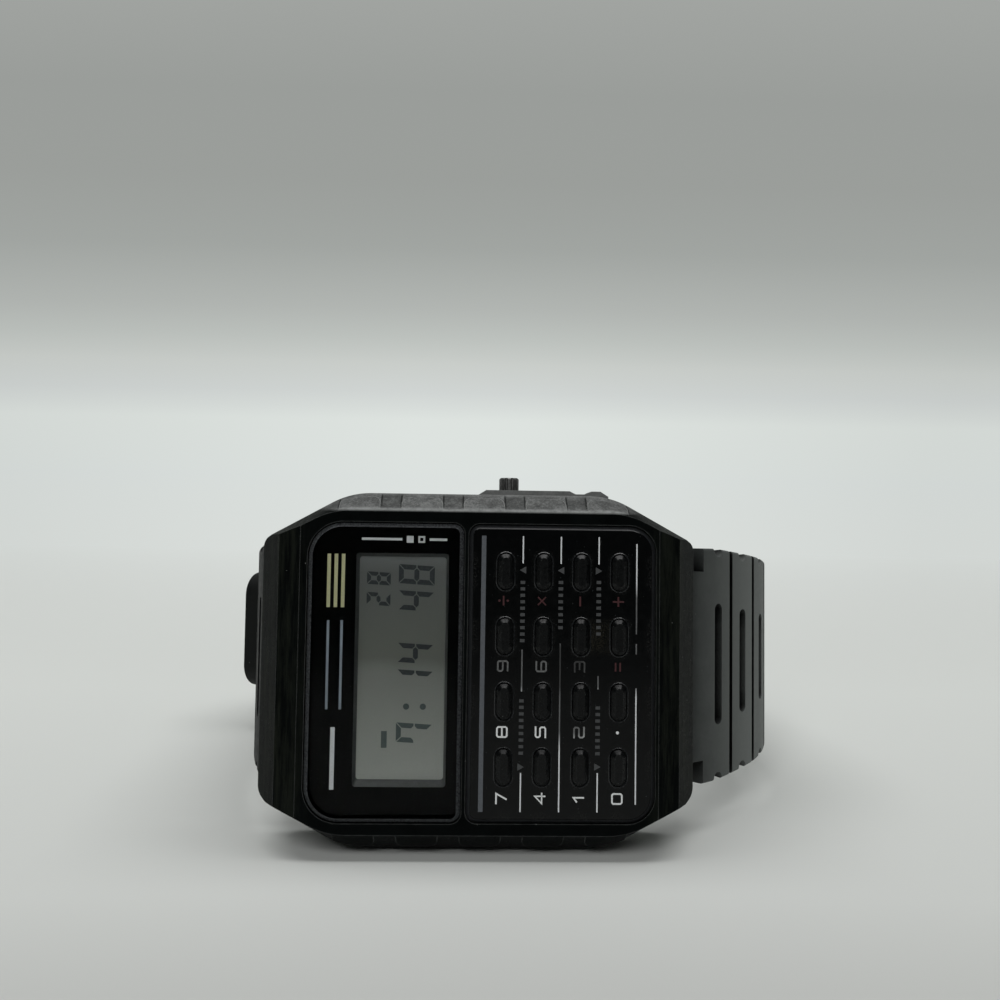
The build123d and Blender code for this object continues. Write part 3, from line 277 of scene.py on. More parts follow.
# Colours of the display: its field's tones, each with where it sets in towards 3 o'clock. They are painted
# reflections of the lens, light towards 9 o'clock and dark towards 3 o'clock
LCD_BRIGHTEST = (0.291, 0.297, 0.277)
LCD_REFLECTION_TONES = (
    ((-9.5, -0.5), (0.169, 0.175, 0.16)),
    ((-0.4, 1.0), (0.103, 0.108, 0.093)),
    ((1.5, 8.5), (0.091, 0.095, 0.091)),
)
LCD_END = (0.144, 0.149, 0.15)
LCD_END_FROM = (9.4, 10.8)
LCD_GRAIN = (0.06, 0.065, 0.06)
SEGMENT_DARK = (0.003, 0.007, 0.01)
SEGMENT_REFLECTION_FAINT = (0.04, 0.056, 0.055)
SEGMENT_REFLECTION_FAINT_FROM = (0.5, -4.0)
SEGMENT_WORN = (0.09, 0.1, 0.095)

# Colours of the print
WHITE_INK = (0.83, 0.85, 0.85)
RED_INK = (0.34, 0.04, 0.055)
LINE_INK = (0.8, 0.82, 0.84)
LAVENDER_INK = (0.098, 0.108, 0.122)
GREY_INK = (0.055, 0.058, 0.06)
GOLD_INK = (0.47, 0.46, 0.26)
PALE_BLUE_INK = (0.2, 0.235, 0.28)
SILVER_INK = (0.55, 0.57, 0.58)
WORN_INK_SHARE = 0.4
DIMMED_INK_SHARE = 0.02

# Floor and backdrop, in metres. Their tones are pairs of a place and a colour, as photographed, and hold
# painted light: the floor darker towards the front and just before the watch as painted shade, the backdrop
# darkening up its sweep and wall as a painted falloff of light. The place is the distance behind the watch
# plus the height, so it grows along the floor and on up the backdrop.
FLOOR_HALF = 1.6
FLOOR_FRONT = -1.2
WALL_DISTANCE = 0.75
WALL_HEIGHT = 1.3
SWEEP_RADIUS = 0.12
SWEEP_STEPS = 12
FLOOR_TONES = (
    (-0.12, (0.52, 0.53, 0.51)),
    (-0.058, (0.58, 0.592, 0.572)),
    (-0.042, (0.665, 0.682, 0.66)),
    (0.03, (0.75, 0.772, 0.745)),
    (0.2, (0.76, 0.782, 0.755)),
)
BACKDROP_TONES = (
    (0.05, (0.645, 0.672, 0.65)),
    (0.6, (0.64, 0.675, 0.66)),
    (0.754, (0.648, 0.684, 0.66)),
    (0.793, (0.575, 0.603, 0.592)),
    (0.826, (0.546, 0.57, 0.548)),
    (0.852, (0.479, 0.505, 0.483)),
    (0.877, (0.425, 0.445, 0.427)),
    (0.926, (0.352, 0.37, 0.354)),
    (0.981, (0.327, 0.341, 0.326)),
    (1.051, (0.323, 0.337, 0.323)),
    (1.131, (0.358, 0.372, 0.357)),
)
BACKDROP_FROM = (0.05, 0.2)

# The backdrop's middle is a little brighter, up to a height, as a painted pool of light. Its reach is a
# share of the way from the camera, which stands CAMERA_BACK before the watch.
MIDDLE_LIGHT_POOL = 0.12
MIDDLE_REACH = (0.05, 0.42)
MIDDLE_HEIGHT = (0.95, 0.75)
CAMERA_BACK = 0.1365

# Lamps, each with its place, its width and depth and its power, and the room's own light
LAMPS = {
    "top lamp": ((0.0, 0.05, 0.9), (1.2, 0.34), 5.7),
    "front lamp": ((-0.15, -0.66, 0.6), (0.4, 0.4), 2.5),
}
LAMP_TARGET = (0, 0, 0.02)
ROOM_COLOUR = (0.95, 1.0, 0.98, 1)
ROOM_LIGHT = 0.06


def link(obj):
    """Put an object into the scene."""
    bpy.context.scene.collection.objects.link(obj)
    return obj


def make_camera():
    """Place the camera from its turns against the watch."""
    turn = (
        Matrix.Rotation(CAMERA_ROLL, 3, "Z")
        @ Matrix.Rotation(CAMERA_PITCH, 3, "X")
        @ Matrix.Rotation(CAMERA_YAW, 3, "Y")
    )
    flip = Matrix(((1, 0, 0), (0, -1, 0), (0, 0, -1)))
    eye = flip @ -(turn.transposed() @ FACE_BEFORE_CAMERA) + Vector((0, 0, FACE_HEIGHT))
    axes = Matrix((flip @ turn[0], -(flip @ turn[1]), -(flip @ turn[2]))).transposed()
    data = bpy.data.cameras.new("camera")
    data.sensor_width = LENS_SENSOR
    data.lens = LENS_SENSOR * FOCAL_SHARE
    data.shift_y = FRAME_SHIFT
    data.clip_start = CAMERA_NEAREST
    data.clip_end = CAMERA_FARTHEST
    camera = link(bpy.data.objects.new("camera", data))
    heading = WATCH.to_3x3().normalized() @ axes
    camera.matrix_world = Matrix.Translation(WATCH @ eye) @ heading.to_4x4()
    bpy.context.scene.camera = camera


class Finish:
    """A material built from nodes, with short calls for what the finishes share."""

    def __init__(self, name):
        self.material = bpy.data.materials.new(name)
        self.material.use_nodes = True
        self.tree = self.material.node_tree
        self.shader = self.tree.nodes["Principled BSDF"]
        self.output = self.tree.nodes["Material Output"]

    def add(self, kind, inputs=(), **settings):
        """Add a node. Inputs are (socket, value or linked socket) pairs."""
        node = self.tree.nodes.new(kind)
        for key, value in settings.items():
            setattr(node, key, value)
        for socket, value in inputs:
            self.feed(node.inputs[socket], value)
        return node

    def feed(self, socket, value):
        """Link a socket to another, or set its value, a colour's without its alpha."""
        if isinstance(value, bpy.types.NodeSocket):
            self.tree.links.new(value, socket)
        elif isinstance(value, tuple) and len(value) == 3 and len(socket.default_value) == 4:
            socket.default_value = (*value, 1)
        else:
            socket.default_value = value

    def set(self, **values):
        """Set the shader's sockets, written with underscores for blanks."""
        for key, value in values.items():
            self.feed(self.shader.inputs[key.replace("_", " ")], value)

    def place(self):
        """Return the surface's place in the watch's millimetres."""
        inverse = WATCH.inverted()
        coordinates = self.add("ShaderNodeTexCoord").outputs["Object"]
        mapping = self.add("ShaderNodeMapping", [("Vector", coordinates)])
        mapping.inputs["Location"].default_value = inverse.translation
        mapping.inputs["Rotation"].default_value = inverse.to_euler()
        mapping.inputs["Scale"].default_value = inverse.to_scale()
        return mapping.outputs[0]

    def stretch(self, vector, scale):
        """Return a vector with each axis multiplied by its own scale."""
        return self.add("ShaderNodeVectorMath", [(0, vector), (1, scale)], operation="MULTIPLY").outputs[0]

    def dot(self, a, b):
        """Return the dot product of two vectors."""
        return self.add("ShaderNodeVectorMath", [(0, a), (1, b)], operation="DOT_PRODUCT").outputs["Value"]

    def axes(self, vector):
        """Return the parts of a vector along X, Y and Z."""
        return list(self.add("ShaderNodeSeparateXYZ", [(0, vector)]).outputs)

    def math(self, operation, a, b=0.0):
        """Return one operation on two values."""
        return self.add("ShaderNodeMath", [(0, a), (1, b)], operation=operation).outputs[0]

    def times(self, first, *others):
        """Return the product of values."""
        for value in others:
            first = self.math("MULTIPLY", first, value)
        return first

    def away(self, value, place):
        """Return how far a value is from a place."""
        return self.math("ABSOLUTE", self.math("SUBTRACT", value, place))

    def from_nearest(self, value, first, pitch):
        """Return how far a value is from the nearest of places that repeat at a pitch."""
        turn = self.math("FLOORED_MODULO", self.math("ADD", value, pitch / 2 - first), pitch)
        return self.away(turn, pitch / 2)

    def span(self, value, over, to=(0.0, 1.0)):
        """Return a value carried from one range to another and kept inside it."""
        ends = [("From Min", over[0]), ("From Max", over[1]), ("To Min", to[0]), ("To Max", to[1])]
        return self.add("ShaderNodeMapRange", [("Value", value), *ends], clamp=True).outputs[0]

    def noise(self, vector, scale, detail=4, roughness=0.6):
        """Return smooth noise, its scale in waves to a millimetre."""
        inputs = [("Vector", vector), ("Scale", scale), ("Detail", detail), ("Roughness", roughness)]
        return self.add("ShaderNodeTexNoise", inputs).outputs["Fac"]

    def patches(self, vector, scale, over, to=(0.0, 1.0), **grain):
        """Return noise carried from one range to another, so that it makes patches."""
        return self.span(self.noise(vector, scale, **grain), over, to)

    def mix(self, share, a, b):
        """Return the colour a, or b where share is 1."""
        node = self.add("ShaderNodeMix", data_type="RGBA")
        self.feed(node.inputs["Factor"], share)
        for name, colour in (("A", a), ("B", b)):
            self.feed([s for s in node.inputs if s.name == name and s.type == "RGBA"][0], colour)
        return [s for s in node.outputs if s.type == "RGBA"][0]

    def bump(self, height, strength, distance):
        """Bend the surface's normal by a height, its distance in millimetres."""
        inputs = [("Height", height), ("Strength", strength), ("Distance", distance * MM)]
        self.tree.links.new(self.add("ShaderNodeBump", inputs).outputs[0], self.shader.inputs["Normal"])

    def specks(self, vector, scale, size, share):
        """Return small round spots: scale cells in a millimetre, of which a share holds one."""
        cells = self.add("ShaderNodeTexVoronoi", [("Vector", vector), ("Scale", scale)])
        near = self.math("LESS_THAN", cells.outputs["Distance"], size)
        pick = self.math("LESS_THAN", self.axes(cells.outputs["Color"])[0], share)
        return self.times(near, pick)

    def edges(self, radius, over=(0.02, 0.25)):
        """Return where the surface is near an edge, from how much a rounded normal leaves the true one."""
        soft = self.add("ShaderNodeBevel", [("Radius", radius * MM)], samples=4).outputs[0]
        true = self.add("ShaderNodeNewGeometry").outputs["Normal"]
        return self.span(self.math("SUBTRACT", 1.0, self.dot(soft, true)), over)


# Finishes
def worn_slope(f, place, patch):
    """Return the grey of the case's worn slope: cloudy, with painted shade between its pads, its edges and
    front line worn and lightened as a painted highlight, and lighter on the button ledge.
    """
    x, y, z = f.axes(place)
    grey = f.mix(f.span(patch, (0.36, 0.64)), WORN_DARK, WORN_LIGHT)
    grey = f.mix(f.span(patch, (0.5, 0.62), to=(0.0, 0.4)), grey, WORN_PATCH)
    # Painted shade in the gaps between the pads
    from_pad = f.from_nearest(x, SLOPE_PAD_SHIFT, SLOPE_PAD_PITCH)
    outside = f.math("SUBTRACT", from_pad, SLOPE_PAD_LENGTH / 2)
    gap = f.times(f.span(outside, (-0.02, 0.03)), f.span(outside, (0.1, 0.24), to=(0.95, 0.3)))
    gap = f.times(gap, f.span(z, (SLOPE_FOOT, SLOPE_FOOT + 0.3)), f.span(z, SLOPE_PAD_TOP))
    grey = f.mix(gap, grey, WORN_GAP_SHADE)
    # Worn edges and the slope's front line, lightened as a painted highlight
    bright = f.times(f.edges(0.16, over=(0.01, 0.08)), f.patches(place, 3.0, (0.3, 0.55), to=(0.3, 1.0)))
    front = f.times(f.span(z, SLOPE_TOP), f.patches(place, 1.4, (0.35, 0.6), to=(0.35, 1.0)))
    grey = f.mix(f.times(f.math("MAXIMUM", bright, front), 0.85), grey, WORN_EDGE_AND_HIGHLIGHT)
    # The button ledge is painted a lighter grey
    return f.mix(f.span(y, LEDGE_START, to=(0.0, 0.5)), grey, LEDGE_GREY)


def case_finish():
    """Black moulded resin with dust, its edges worn and lightened as a painted highlight, painted reflection
    streaks on its ends, the slopes worn grey but kept near black on the 9 o'clock side as painted shade, and
    the button ledge a lighter grey.
    """
    f = Finish("case resin")
    place = f.place()
    x, y, z = f.axes(place)
    colour = f.mix(f.patches(place, 0.35, (0.35, 0.7)), CASE_BLACK, CASE_CLOUD)
    # Edges worn and lightened as a painted highlight along the folds and ridges
    edge = f.times(f.edges(0.11, over=(0.003, 0.02)), f.patches(place, 1.3, (0.3, 0.6), to=(0.5, 1.0)))
    colour = f.mix(f.times(edge, 0.9), colour, CASE_EDGE_WEAR_AND_HIGHLIGHT)
    colour = f.mix(f.times(f.specks(place, scale=1.6, size=0.07, share=0.12), 0.8), colour, CASE_DUST)
    from_middle = f.math("ABSOLUTE", x)
    # Painted reflection streaks on the case's ends
    reflection_streaks = f.patches(f.stretch(place, (1.4, 0.12, 1.4)), 1.0, (0.42, 0.62), detail=5, roughness=0.75)
    reflection_streaks = f.times(reflection_streaks, f.span(from_middle, CASE_END, to=(0.0, 0.5)))
    colour = f.mix(reflection_streaks, colour, CASE_REFLECTION_STREAK)
    coarse = f.noise(place, 0.9, detail=3)
    fine = f.noise(place, 5.0, detail=6, roughness=0.8)
    patch = f.math("ADD", f.times(coarse, 0.4), f.times(fine, 0.6))
    # Worn grey on the slopes, kept faint on the 9 o'clock side as painted shade
    worn = f.times(
        f.span(f.math("ABSOLUTE", y), (SLOPE_START - 0.12, SLOPE_START + 0.1)),
        f.span(y, (-1, 1), to=(0.02, 1.0)),
        f.span(from_middle, WORN_END, to=(1.0, 0.0)),
        f.span(z, (1.0, 3.0), to=(0.85, 1.0)),
        f.span(patch, (0.2, 0.42), to=(0.75, 1.0)),
    )
    f.set(Base_Color=f.mix(worn, colour, worn_slope(f, place, patch)), IOR=1.5, Specular_IOR_Level=0.015)
    smooth = f.patches(place, 2.2, (0.3, 0.7), to=(0.24, 0.4))
    f.set(Roughness=f.math("ADD", f.times(worn, 0.4), smooth))
    grain = f.times(worn, f.noise(place, 5.0, detail=5))
    f.bump(f.math("ADD", f.noise(place, 9.0, detail=2), grain), strength=0.3, distance=0.04)
    return f.material


def strap_finish():
    """Matt dark grey resin with painted shade in its grooves and slots, a painted reflection towards its far
    side, painted shade on its tail and worn edges lightened as a painted highlight.
    """
    f = Finish("strap resin")
    place = f.place()
    x = f.axes(place)[0]
    colour = f.mix(f.patches(place, 0.25, (0.35, 0.7)), STRAP_DARK, STRAP_LIGHT)
    # Painted reflection: lighter towards the strap's far side at 6 o'clock
    colour = f.mix(f.span(x, STRAP_REFLECTION_FROM), colour, STRAP_REFLECTION)
    # Painted shade darkens the strap's tail
    colour = f.mix(f.span(x, STRAP_TAIL_SHADE_FROM), colour, STRAP_TAIL_SHADE)
    # Worn edges, lightened further as a painted highlight
    edge = f.times(f.edges(0.14), f.patches(place, 1.6, (0.35, 0.65)))
    colour = f.mix(f.times(edge, 0.4), colour, STRAP_EDGE_WEAR_AND_HIGHLIGHT)
    colour = f.mix(f.times(f.specks(place, scale=1.3, size=0.07, share=0.08), 0.7), colour, STRAP_DUST)
    # Painted shade in the grooves and slots, where little of the surroundings is open
    reach = [("Distance", STRAP_HOLLOW_SHADE_REACH * MM)]
    open_share = f.add("ShaderNodeAmbientOcclusion", reach, samples=6).outputs["AO"]
    colour = f.mix(f.span(open_share, (0.88, 0.55)), colour, STRAP_HOLLOW_SHADE)
    f.set(Base_Color=colour, IOR=1.48, Specular_IOR_Level=0.15)
    f.set(Roughness=f.patches(place, 1.8, (0.3, 0.7), to=(0.5, 0.64)))
    f.bump(f.noise(place, 7.0, detail=3), strength=0.3, distance=0.03)
    return f.material


def key_distance(f, place):
    """Return how far a place on the keypad is from the nearest key's side."""
    x, y = f.axes(place)[:2]
    across = f.from_nearest(x, KEY_FIRST_X, KEY_PITCH_X)
    along = f.from_nearest(y, KEY_FIRST_Y, KEY_PITCH_Y)
    along = f.math("MAXIMUM", f.math("SUBTRACT", along, (KEY_LENGTH - KEY_WIDTH) / 2), 0.0)
    squares = f.math("ADD", f.math("POWER", across, 2.0), f.math("POWER", along, 2.0))
    return f.math("SUBTRACT", f.math("SQRT", squares), KEY_WIDTH / 2)


def keypad_finish():
    """Glossy black panel with grime round the keys, dust and a worn bevel."""
    f = Finish("keypad black")
    place = f.place()
    x, y, z = f.axes(place)
    ring = f.span(key_distance(f, place), (0.05, 0.6), to=(1.0, 0.0))
    grime = f.times(ring, f.patches(place, 7.0, (0.5, 0.7), detail=6, roughness=0.75))
    colour = f.mix(f.times(grime, 0.35), KEYPAD_BLACK, KEYPAD_GRIME)
    far = f.math("MAXIMUM", f.away(x, DUST_PLACE[0]), f.away(y, DUST_PLACE[1]))
    sand = f.patches(place, 9.0, (0.5, 0.66), detail=5, roughness=0.8)
    sand = f.times(f.span(far, DUST_REACH, to=(1.0, 0.0)), sand)
    colour = f.mix(f.times(sand, 0.5), colour, KEYPAD_SAND)
    bevel = f.span(z, (PANEL_TOP - 0.03, PANEL_TOP - 0.12))
    bevel = f.times(bevel, f.patches(place, 6.0, (0.3, 0.6), to=(0.4, 1.0)))
    colour = f.mix(f.times(bevel, 0.5), colour, KEYPAD_BEVEL)
    colour = f.mix(f.times(f.specks(place, scale=2.6, size=0.055, share=0.3), 0.6), colour, KEYPAD_DUST)
    f.set(Base_Color=colour, IOR=1.49, Specular_IOR_Level=0.2)
    dull = f.times(f.math("MAXIMUM", grime, bevel), 0.35)
    f.set(Roughness=f.math("ADD", dull, f.patches(place, 1.2, (0.3, 0.7), to=(0.12, 0.22))))
    f.bump(f.math("ADD", f.noise(place, 1.1, detail=2), grime), strength=0.12, distance=0.02)
    return f.material


def key_finish():
    """Black key caps, satin, their rims worn and lightened as a painted highlight."""
    f = Finish("key black")
    place = f.place()
    patchy = f.patches(place, 2.5, (0.3, 0.65), to=(0.15, 1.0), detail=5)
    # Rims worn and lightened as a painted highlight
    edge = f.times(f.edges(0.12, over=(0.01, 0.2)), patchy)
    colour = f.mix(f.times(edge, 0.5), KEY_BLACK, KEY_EDGE_WEAR_AND_HIGHLIGHT)
    colour = f.mix(f.times(f.specks(place, scale=2.8, size=0.06, share=0.2), 0.5), colour, KEY_DUST)
    f.set(Base_Color=colour, IOR=1.48, Specular_IOR_Level=0.25)
    f.set(Roughness=f.patches(place, 3.0, (0.3, 0.7), to=(0.22, 0.36)))
    f.bump(f.noise(place, 6.0, detail=3), strength=0.2, distance=0.02)
    return f.material


def lens_finish():
    """Clear hard plastic with satin grey edges, lightened as a painted highlight. The plate behind it
    carries its gloss.
    """
    f = Finish("lens clear")
    place = f.place()
    normal = f.add("ShaderNodeNewGeometry").outputs["True Normal"]
    up = tuple(WATCH.to_3x3().normalized().col[2])
    # Side faces: satin grey, lightened as a painted highlight
    edge = f.span(f.math("ABSOLUTE", f.dot(normal, up)), (0.97, 0.93))
    satin = f.patches(place, 6.0, (0.35, 0.62), roughness=0.7)
    satin = f.mix(satin, LENS_EDGE_DARK, LENS_EDGE_HIGHLIGHT)
    f.set(Base_Color=f.mix(edge, LENS_CLEAR, satin), IOR=1.02)
    f.set(Transmission_Weight=f.math("SUBTRACT", 1.0, edge))
    smooth = f.patches(place, 0.8, (0.35, 0.75), to=(0.0, 0.03))
    f.set(Roughness=f.math("ADD", f.times(edge, 0.4), smooth))
    return f.material


def lcd_finish():
    """The display's grey-green field, darker towards 3 o'clock, with painted reflections of the lens and a
    faint dot grain.
    """
    f = Finish("display field")
    place = f.place()
    wave = f.times(f.math("SUBTRACT", f.noise(place, 0.12, detail=2), 0.5), 2.0)
    y = f.math("ADD", f.axes(place)[1], wave)
    # Painted reflections of the lens: light towards 9 o'clock, dark towards 3 o'clock
    colour = LCD_BRIGHTEST
    for sets_in, tone in LCD_REFLECTION_TONES:
        colour = f.mix(f.span(y, sets_in), colour, tone)
    colour = f.mix(f.span(y, LCD_END_FROM, to=(0.0, 0.6)), colour, LCD_END)
    colour = f.mix(f.patches(place, 14.0, (0.35, 0.65), to=(0.0, 0.14), detail=2), colour, LCD_GRAIN)
    f.set(Base_Color=colour, IOR=1.5, Roughness=f.patches(place, 1.0, (0.3, 0.7), to=(0.35, 0.5)))
    return f.material


def segment_finish():
    """The display's dark segments, fainter towards 9 o'clock under a painted reflection."""
    f = Finish("display segment")
    place = f.place()
    # Segments fade towards 9 o'clock under a painted reflection
    colour = f.mix(f.span(f.axes(place)[1], SEGMENT_REFLECTION_FAINT_FROM), SEGMENT_DARK, SEGMENT_REFLECTION_FAINT)
    colour = f.mix(f.patches(place, 6.0, (0.45, 0.7), to=(0.0, 0.18)), colour, SEGMENT_WORN)
    f.set(Base_Color=colour, Roughness=f.patches(place, 3.0, (0.3, 0.7), to=(0.4, 0.55)))
    return f.material


def print_finish(name, colour, wear=0.25, patchy=False):
    """Screen-printed ink, a little worn, and when patchy, dimmed by a painted dark reflection across the
    middle of the keypad and soiled in a patch.
    """
    f = Finish(name)
    place = f.place()
    x, y = f.axes(place)[:2]
    worn = f.times(f.patches(place, 7.0, (0.45, 0.7), detail=5, roughness=0.7), wear)
    ink = f.mix(worn, colour, tuple(c * WORN_INK_SHARE for c in colour))
    if patchy:
        dimmed = tuple(c * DIMMED_INK_SHARE for c in colour)
        # Painted dark reflection across the middle of the keypad
        band = f.patches(place, 4.0, (0.3, 0.7), to=DARK_REFLECTION_SHARE, roughness=0.7)
        band = f.times(f.span(y, DARK_REFLECTION_LOW), f.span(y, DARK_REFLECTION_HIGH), band)
        across = f.span(f.away(x, SOILED_PLACE), SOILED_REACH, to=(SOILED_SHARE, 0.0))
        soiled = f.times(across, f.span(y, SOILED_LOW), f.span(y, SOILED_HIGH))
        ink = f.mix(soiled, f.mix(band, ink, dimmed), dimmed)
    f.set(Base_Color=ink, Roughness=f.patches(place, 3.0, (0.3, 0.7), to=(0.45, 0.6)))
    return f.material


def plain_finish(
    name, dark, light, roughness, metallic=0.0, grain=2.0, stretch=(1, 1, 1), coat=0.0, gloss=0.5
):
    """A finish for plainer pieces: two tones in a grain, with its roughness and bump."""
    f = Finish(name)
    tone = f.noise(f.stretch(f.place(), stretch), grain, detail=5, roughness=0.65)
    f.set(Base_Color=f.mix(f.span(tone, (0.3, 0.7)), dark, light), Metallic=metallic, IOR=1.5)
    f.set(Specular_IOR_Level=gloss, Coat_Weight=coat)
    f.set(Roughness=f.span(tone, (0.3, 0.7), to=(roughness - 0.05, roughness + 0.08)))
    f.bump(tone, strength=0.15, distance=0.02)
    return f.material


def give(material, *names):
    """Give CAD nodes their finish."""
    for name in names:
        for slot in nodes[name].material_slots:
            slot.material = material


def finish_shown_nodes():
    """Give the nodes that the photograph shows their finish."""
    give(case_finish(), "case_body")
    give(strap_finish(), "strap_long", "strap_short", "strap_keeper")
    give(keypad_finish(), "keypad_panel")
    give(key_finish(), *[name for name in nodes if name.startswith("key_") and name != "key_mat"])
    give(lens_finish(), "display_lens")
    resin = plain_finish("mask resin", dark=MASK_DARK, light=MASK_LIGHT, roughness=0.4, gloss=0.02)
    give(resin, "display_mask")
    give(lcd_finish(), "lcd_cell")
    worn = plain_finish(
        "button metal", dark=(0.05, 0.051, 0.05), light=(0.2, 0.2, 0.195),
        roughness=0.42, metallic=0.85, grain=4.0, stretch=(3, 0.5, 3),
    )
    give(worn, "mode_button", "adjust_button")


def finish_metal_nodes():
    """Give the case back, the buckle and the metal parts inside their finish."""
    brushed = plain_finish(
        "brushed steel", dark=(0.42, 0.42, 0.41), light=(0.56, 0.56, 0.55),
        roughness=0.3, metallic=1.0, grain=1.5, stretch=(0.3, 6, 6),
    )
    give(brushed, "case_back", "buckle_frame", "buckle_tongue", "buckle_pin")
    spring = plain_finish(
        "spring steel", dark=(0.35, 0.35, 0.34), light=(0.5, 0.5, 0.49),
        roughness=0.35, metallic=1.0, grain=4.0,
    )
    kinds = ("spring", "clip", "screws", "clamp")
    give(spring, *[name for name in nodes if any(kind in name for kind in kinds)])
    cell = plain_finish(
        "cell steel", dark=(0.5, 0.5, 0.49), light=(0.62, 0.62, 0.6),
        roughness=0.25, metallic=1.0, grain=1.0,
    )
    give(cell, "battery", "quartz_crystal")
    foil = plain_finish(
        "reflector foil", dark=(0.55, 0.56, 0.55), light=(0.7, 0.71, 0.7),
        roughness=0.3, metallic=0.6,
    )
    give(foil, "lcd_reflector")
    brass = plain_finish(
        "buzzer brass", dark=(0.45, 0.3, 0.1), light=(0.6, 0.42, 0.18),
        roughness=0.35, metallic=1.0,
    )
    give(brass, "buzzer_disc")


def finish_other_nodes():
    """Give the rubber and plastic parts inside their finish."""
    mat = plain_finish("mat rubber", dark=(0.03, 0.03, 0.032), light=(0.05, 0.05, 0.052), roughness=0.7)
    give(mat, "key_mat", "case_back_gasket")
    strip = plain_finish(
        "strip rubber", dark=(0.25, 0.2, 0.2), light=(0.45, 0.4, 0.4),
        roughness=0.7, grain=0.8, stretch=(0.2, 8, 0.2),
    )
    give(strip, "lcd_connectors")
    module = plain_finish("module plastic", dark=(0.35, 0.35, 0.33), light=(0.45, 0.45, 0.43), roughness=0.5)
    give(module, "module_frame")
    board = plain_finish(
        "board green", dark=(0.015, 0.06, 0.03), light=(0.03, 0.11, 0.05),
        roughness=0.4, grain=1.2, coat=0.3,
    )
    give(board, "circuit_board")
    epoxy = plain_finish("chip epoxy", dark=(0.004, 0.004, 0.004), light=(0.01, 0.01, 0.011), roughness=0.35)
    give(epoxy, "chip")


# Pieces
def piece(name, bm, material):
    """Turn a mesh in the watch's millimetres into a piece that rides on the watch."""
    bmesh.ops.recalc_face_normals(bm, faces=bm.faces)
    mesh = bpy.data.meshes.new(name)
    bm.to_mesh(mesh)
    bm.free()
    mesh.transform(WATCH)
    mesh.materials.append(material)
    obj = link(bpy.data.objects.new(name, mesh))
    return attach(obj, "watch")


def join(bm, a, b):
    """Join two closed rows of corners by a band of faces."""
    for k in range(len(a)):
        n = (k + 1) % len(a)
        bm.faces.new((a[k], a[n], b[n], b[k]))


def corners(bm, points, height):
    """Add corners at a height and return them."""
    return [bm.verts.new((x, y, height)) for x, y in points]


def flat(bm, points, low):
    """Add an outline as a thin closed layer of print."""
    floor, roof = corners(bm, points, low), corners(bm, points, low + PRINT_THICKNESS)
    bm.faces.new(floor[::-1])
    bm.faces.new(roof)
    join(bm, floor, roof)


def tube(bm, rings):
    """Join closed rings, (outline, height) pairs, each to the next and the last to the first."""
    rows = [corners(bm, points, height) for points, height in rings]
    for a, b in zip(rows, rows[1:] + rows[:1]):
        join(bm, a, b)


def bar(bm, x, y, width, length, low):
    """Add a flat bar, its width along X and its length along Y."""
    w, h = width / 2, length / 2
    flat(bm, [(x - w, y - h), (x + w, y - h), (x + w, y + h), (x - w, y + h)], low)


def disc(bm, x, y, radius, low, sides=24):
    """Add a flat disc."""
    angles = [math.tau * k / sides for k in range(sides)]
    flat(bm, [(x + radius * math.cos(a), y + radius * math.sin(a)) for a in angles], low)


def stroke(bm, points, width, low):
    """Add a thin printed line of even width through points, its corners mitred."""
    closed = points[0] == points[-1]
    places = [Vector(point) for point in (points[:-1] if closed else points)]
    left, right = [], []
    for k, place in enumerate(places):
        before = places[k - 1] if closed or k else None
        after = places[(k + 1) % len(places)] if closed or k + 1 < len(places) else None
        ahead = [(after - place).normalized()] if after else []
        behind = [(place - before).normalized()] if before else []
        along = sum(ahead + behind, Vector((0, 0))).normalized()
        side = Vector((-along.y, along.x))
        reach = width / 2 / max(abs(along.dot((ahead + behind)[0])), SHARPEST_MITRE)
        end = Vector((0, 0))
        if not before:
            end = -along * width / 2
        if not after:
            end = along * width / 2
        left.append(place + end + side * reach)
        right.append(place + end - side * reach)
    heights = (low, low + PRINT_THICKNESS)
    rows = [[bm.verts.new((*p, z)) for p in line] for line in (left, right) for z in heights]
    for k in range(len(places) if closed else len(places) - 1):
        n = (k + 1) % len(places)
        for a, b in ((0, 1), (1, 3), (3, 2), (2, 0)):
            bm.faces.new((rows[a][k], rows[a][n], rows[b][n], rows[b][k]))
    if not closed:
        for k in (0, -1):
            bm.faces.new((rows[0][k], rows[1][k], rows[3][k], rows[2][k]))


def cut_corners(points, cut):
    """Return a line with each inner corner cut off, so that it reads as rounded."""
    places = [Vector(point) for point in points]
    line = [places[0]]
    for before, place, after in zip(places, places[1:], places[2:]):
        line += [place + (before - place).normalized() * cut, place + (after - place).normalized() * cut]
    return [tuple(place) for place in [*line, places[-1]]]


def character(bm, text, x, y, low):
    """Add a squared printed digit, its top towards 12 o'clock and its right towards 3 o'clock."""
    reach_up = (DIGIT_HEIGHT - DIGIT_STROKE) / 2
    reach_across = (DIGIT_WIDTH - DIGIT_STROKE) / 2
    for line in DIGIT_LINES[text]:
        if text in ROUND_DIGITS:
            line = cut_corners(line, DIGIT_CUT)
        stroke(bm, [(x - up * reach_up, y + right * reach_across) for right, up in line], DIGIT_STROKE, low)


def times_sign(bm, x, y, low):
    """Add the times sign: one long arm and, across it, two half arms."""
    reach, half = TIMES_REACH, TIMES_HALF_STROKE
    s = math.sqrt(0.5)
    arm = [(-reach, -half), (reach, -half), (reach, half), (-reach, half)]
    flat(bm, [(x + (a - b) * s, y + (a + b) * s) for a, b in arm], low)
    half_arm = [(half, -half), (reach, -half), (reach, half), (half, half)]
    for side in (-1, 1):
        flat(bm, [(x + side * (a + b) * s, y + side * (b - a) * s) for a, b in half_arm], low)


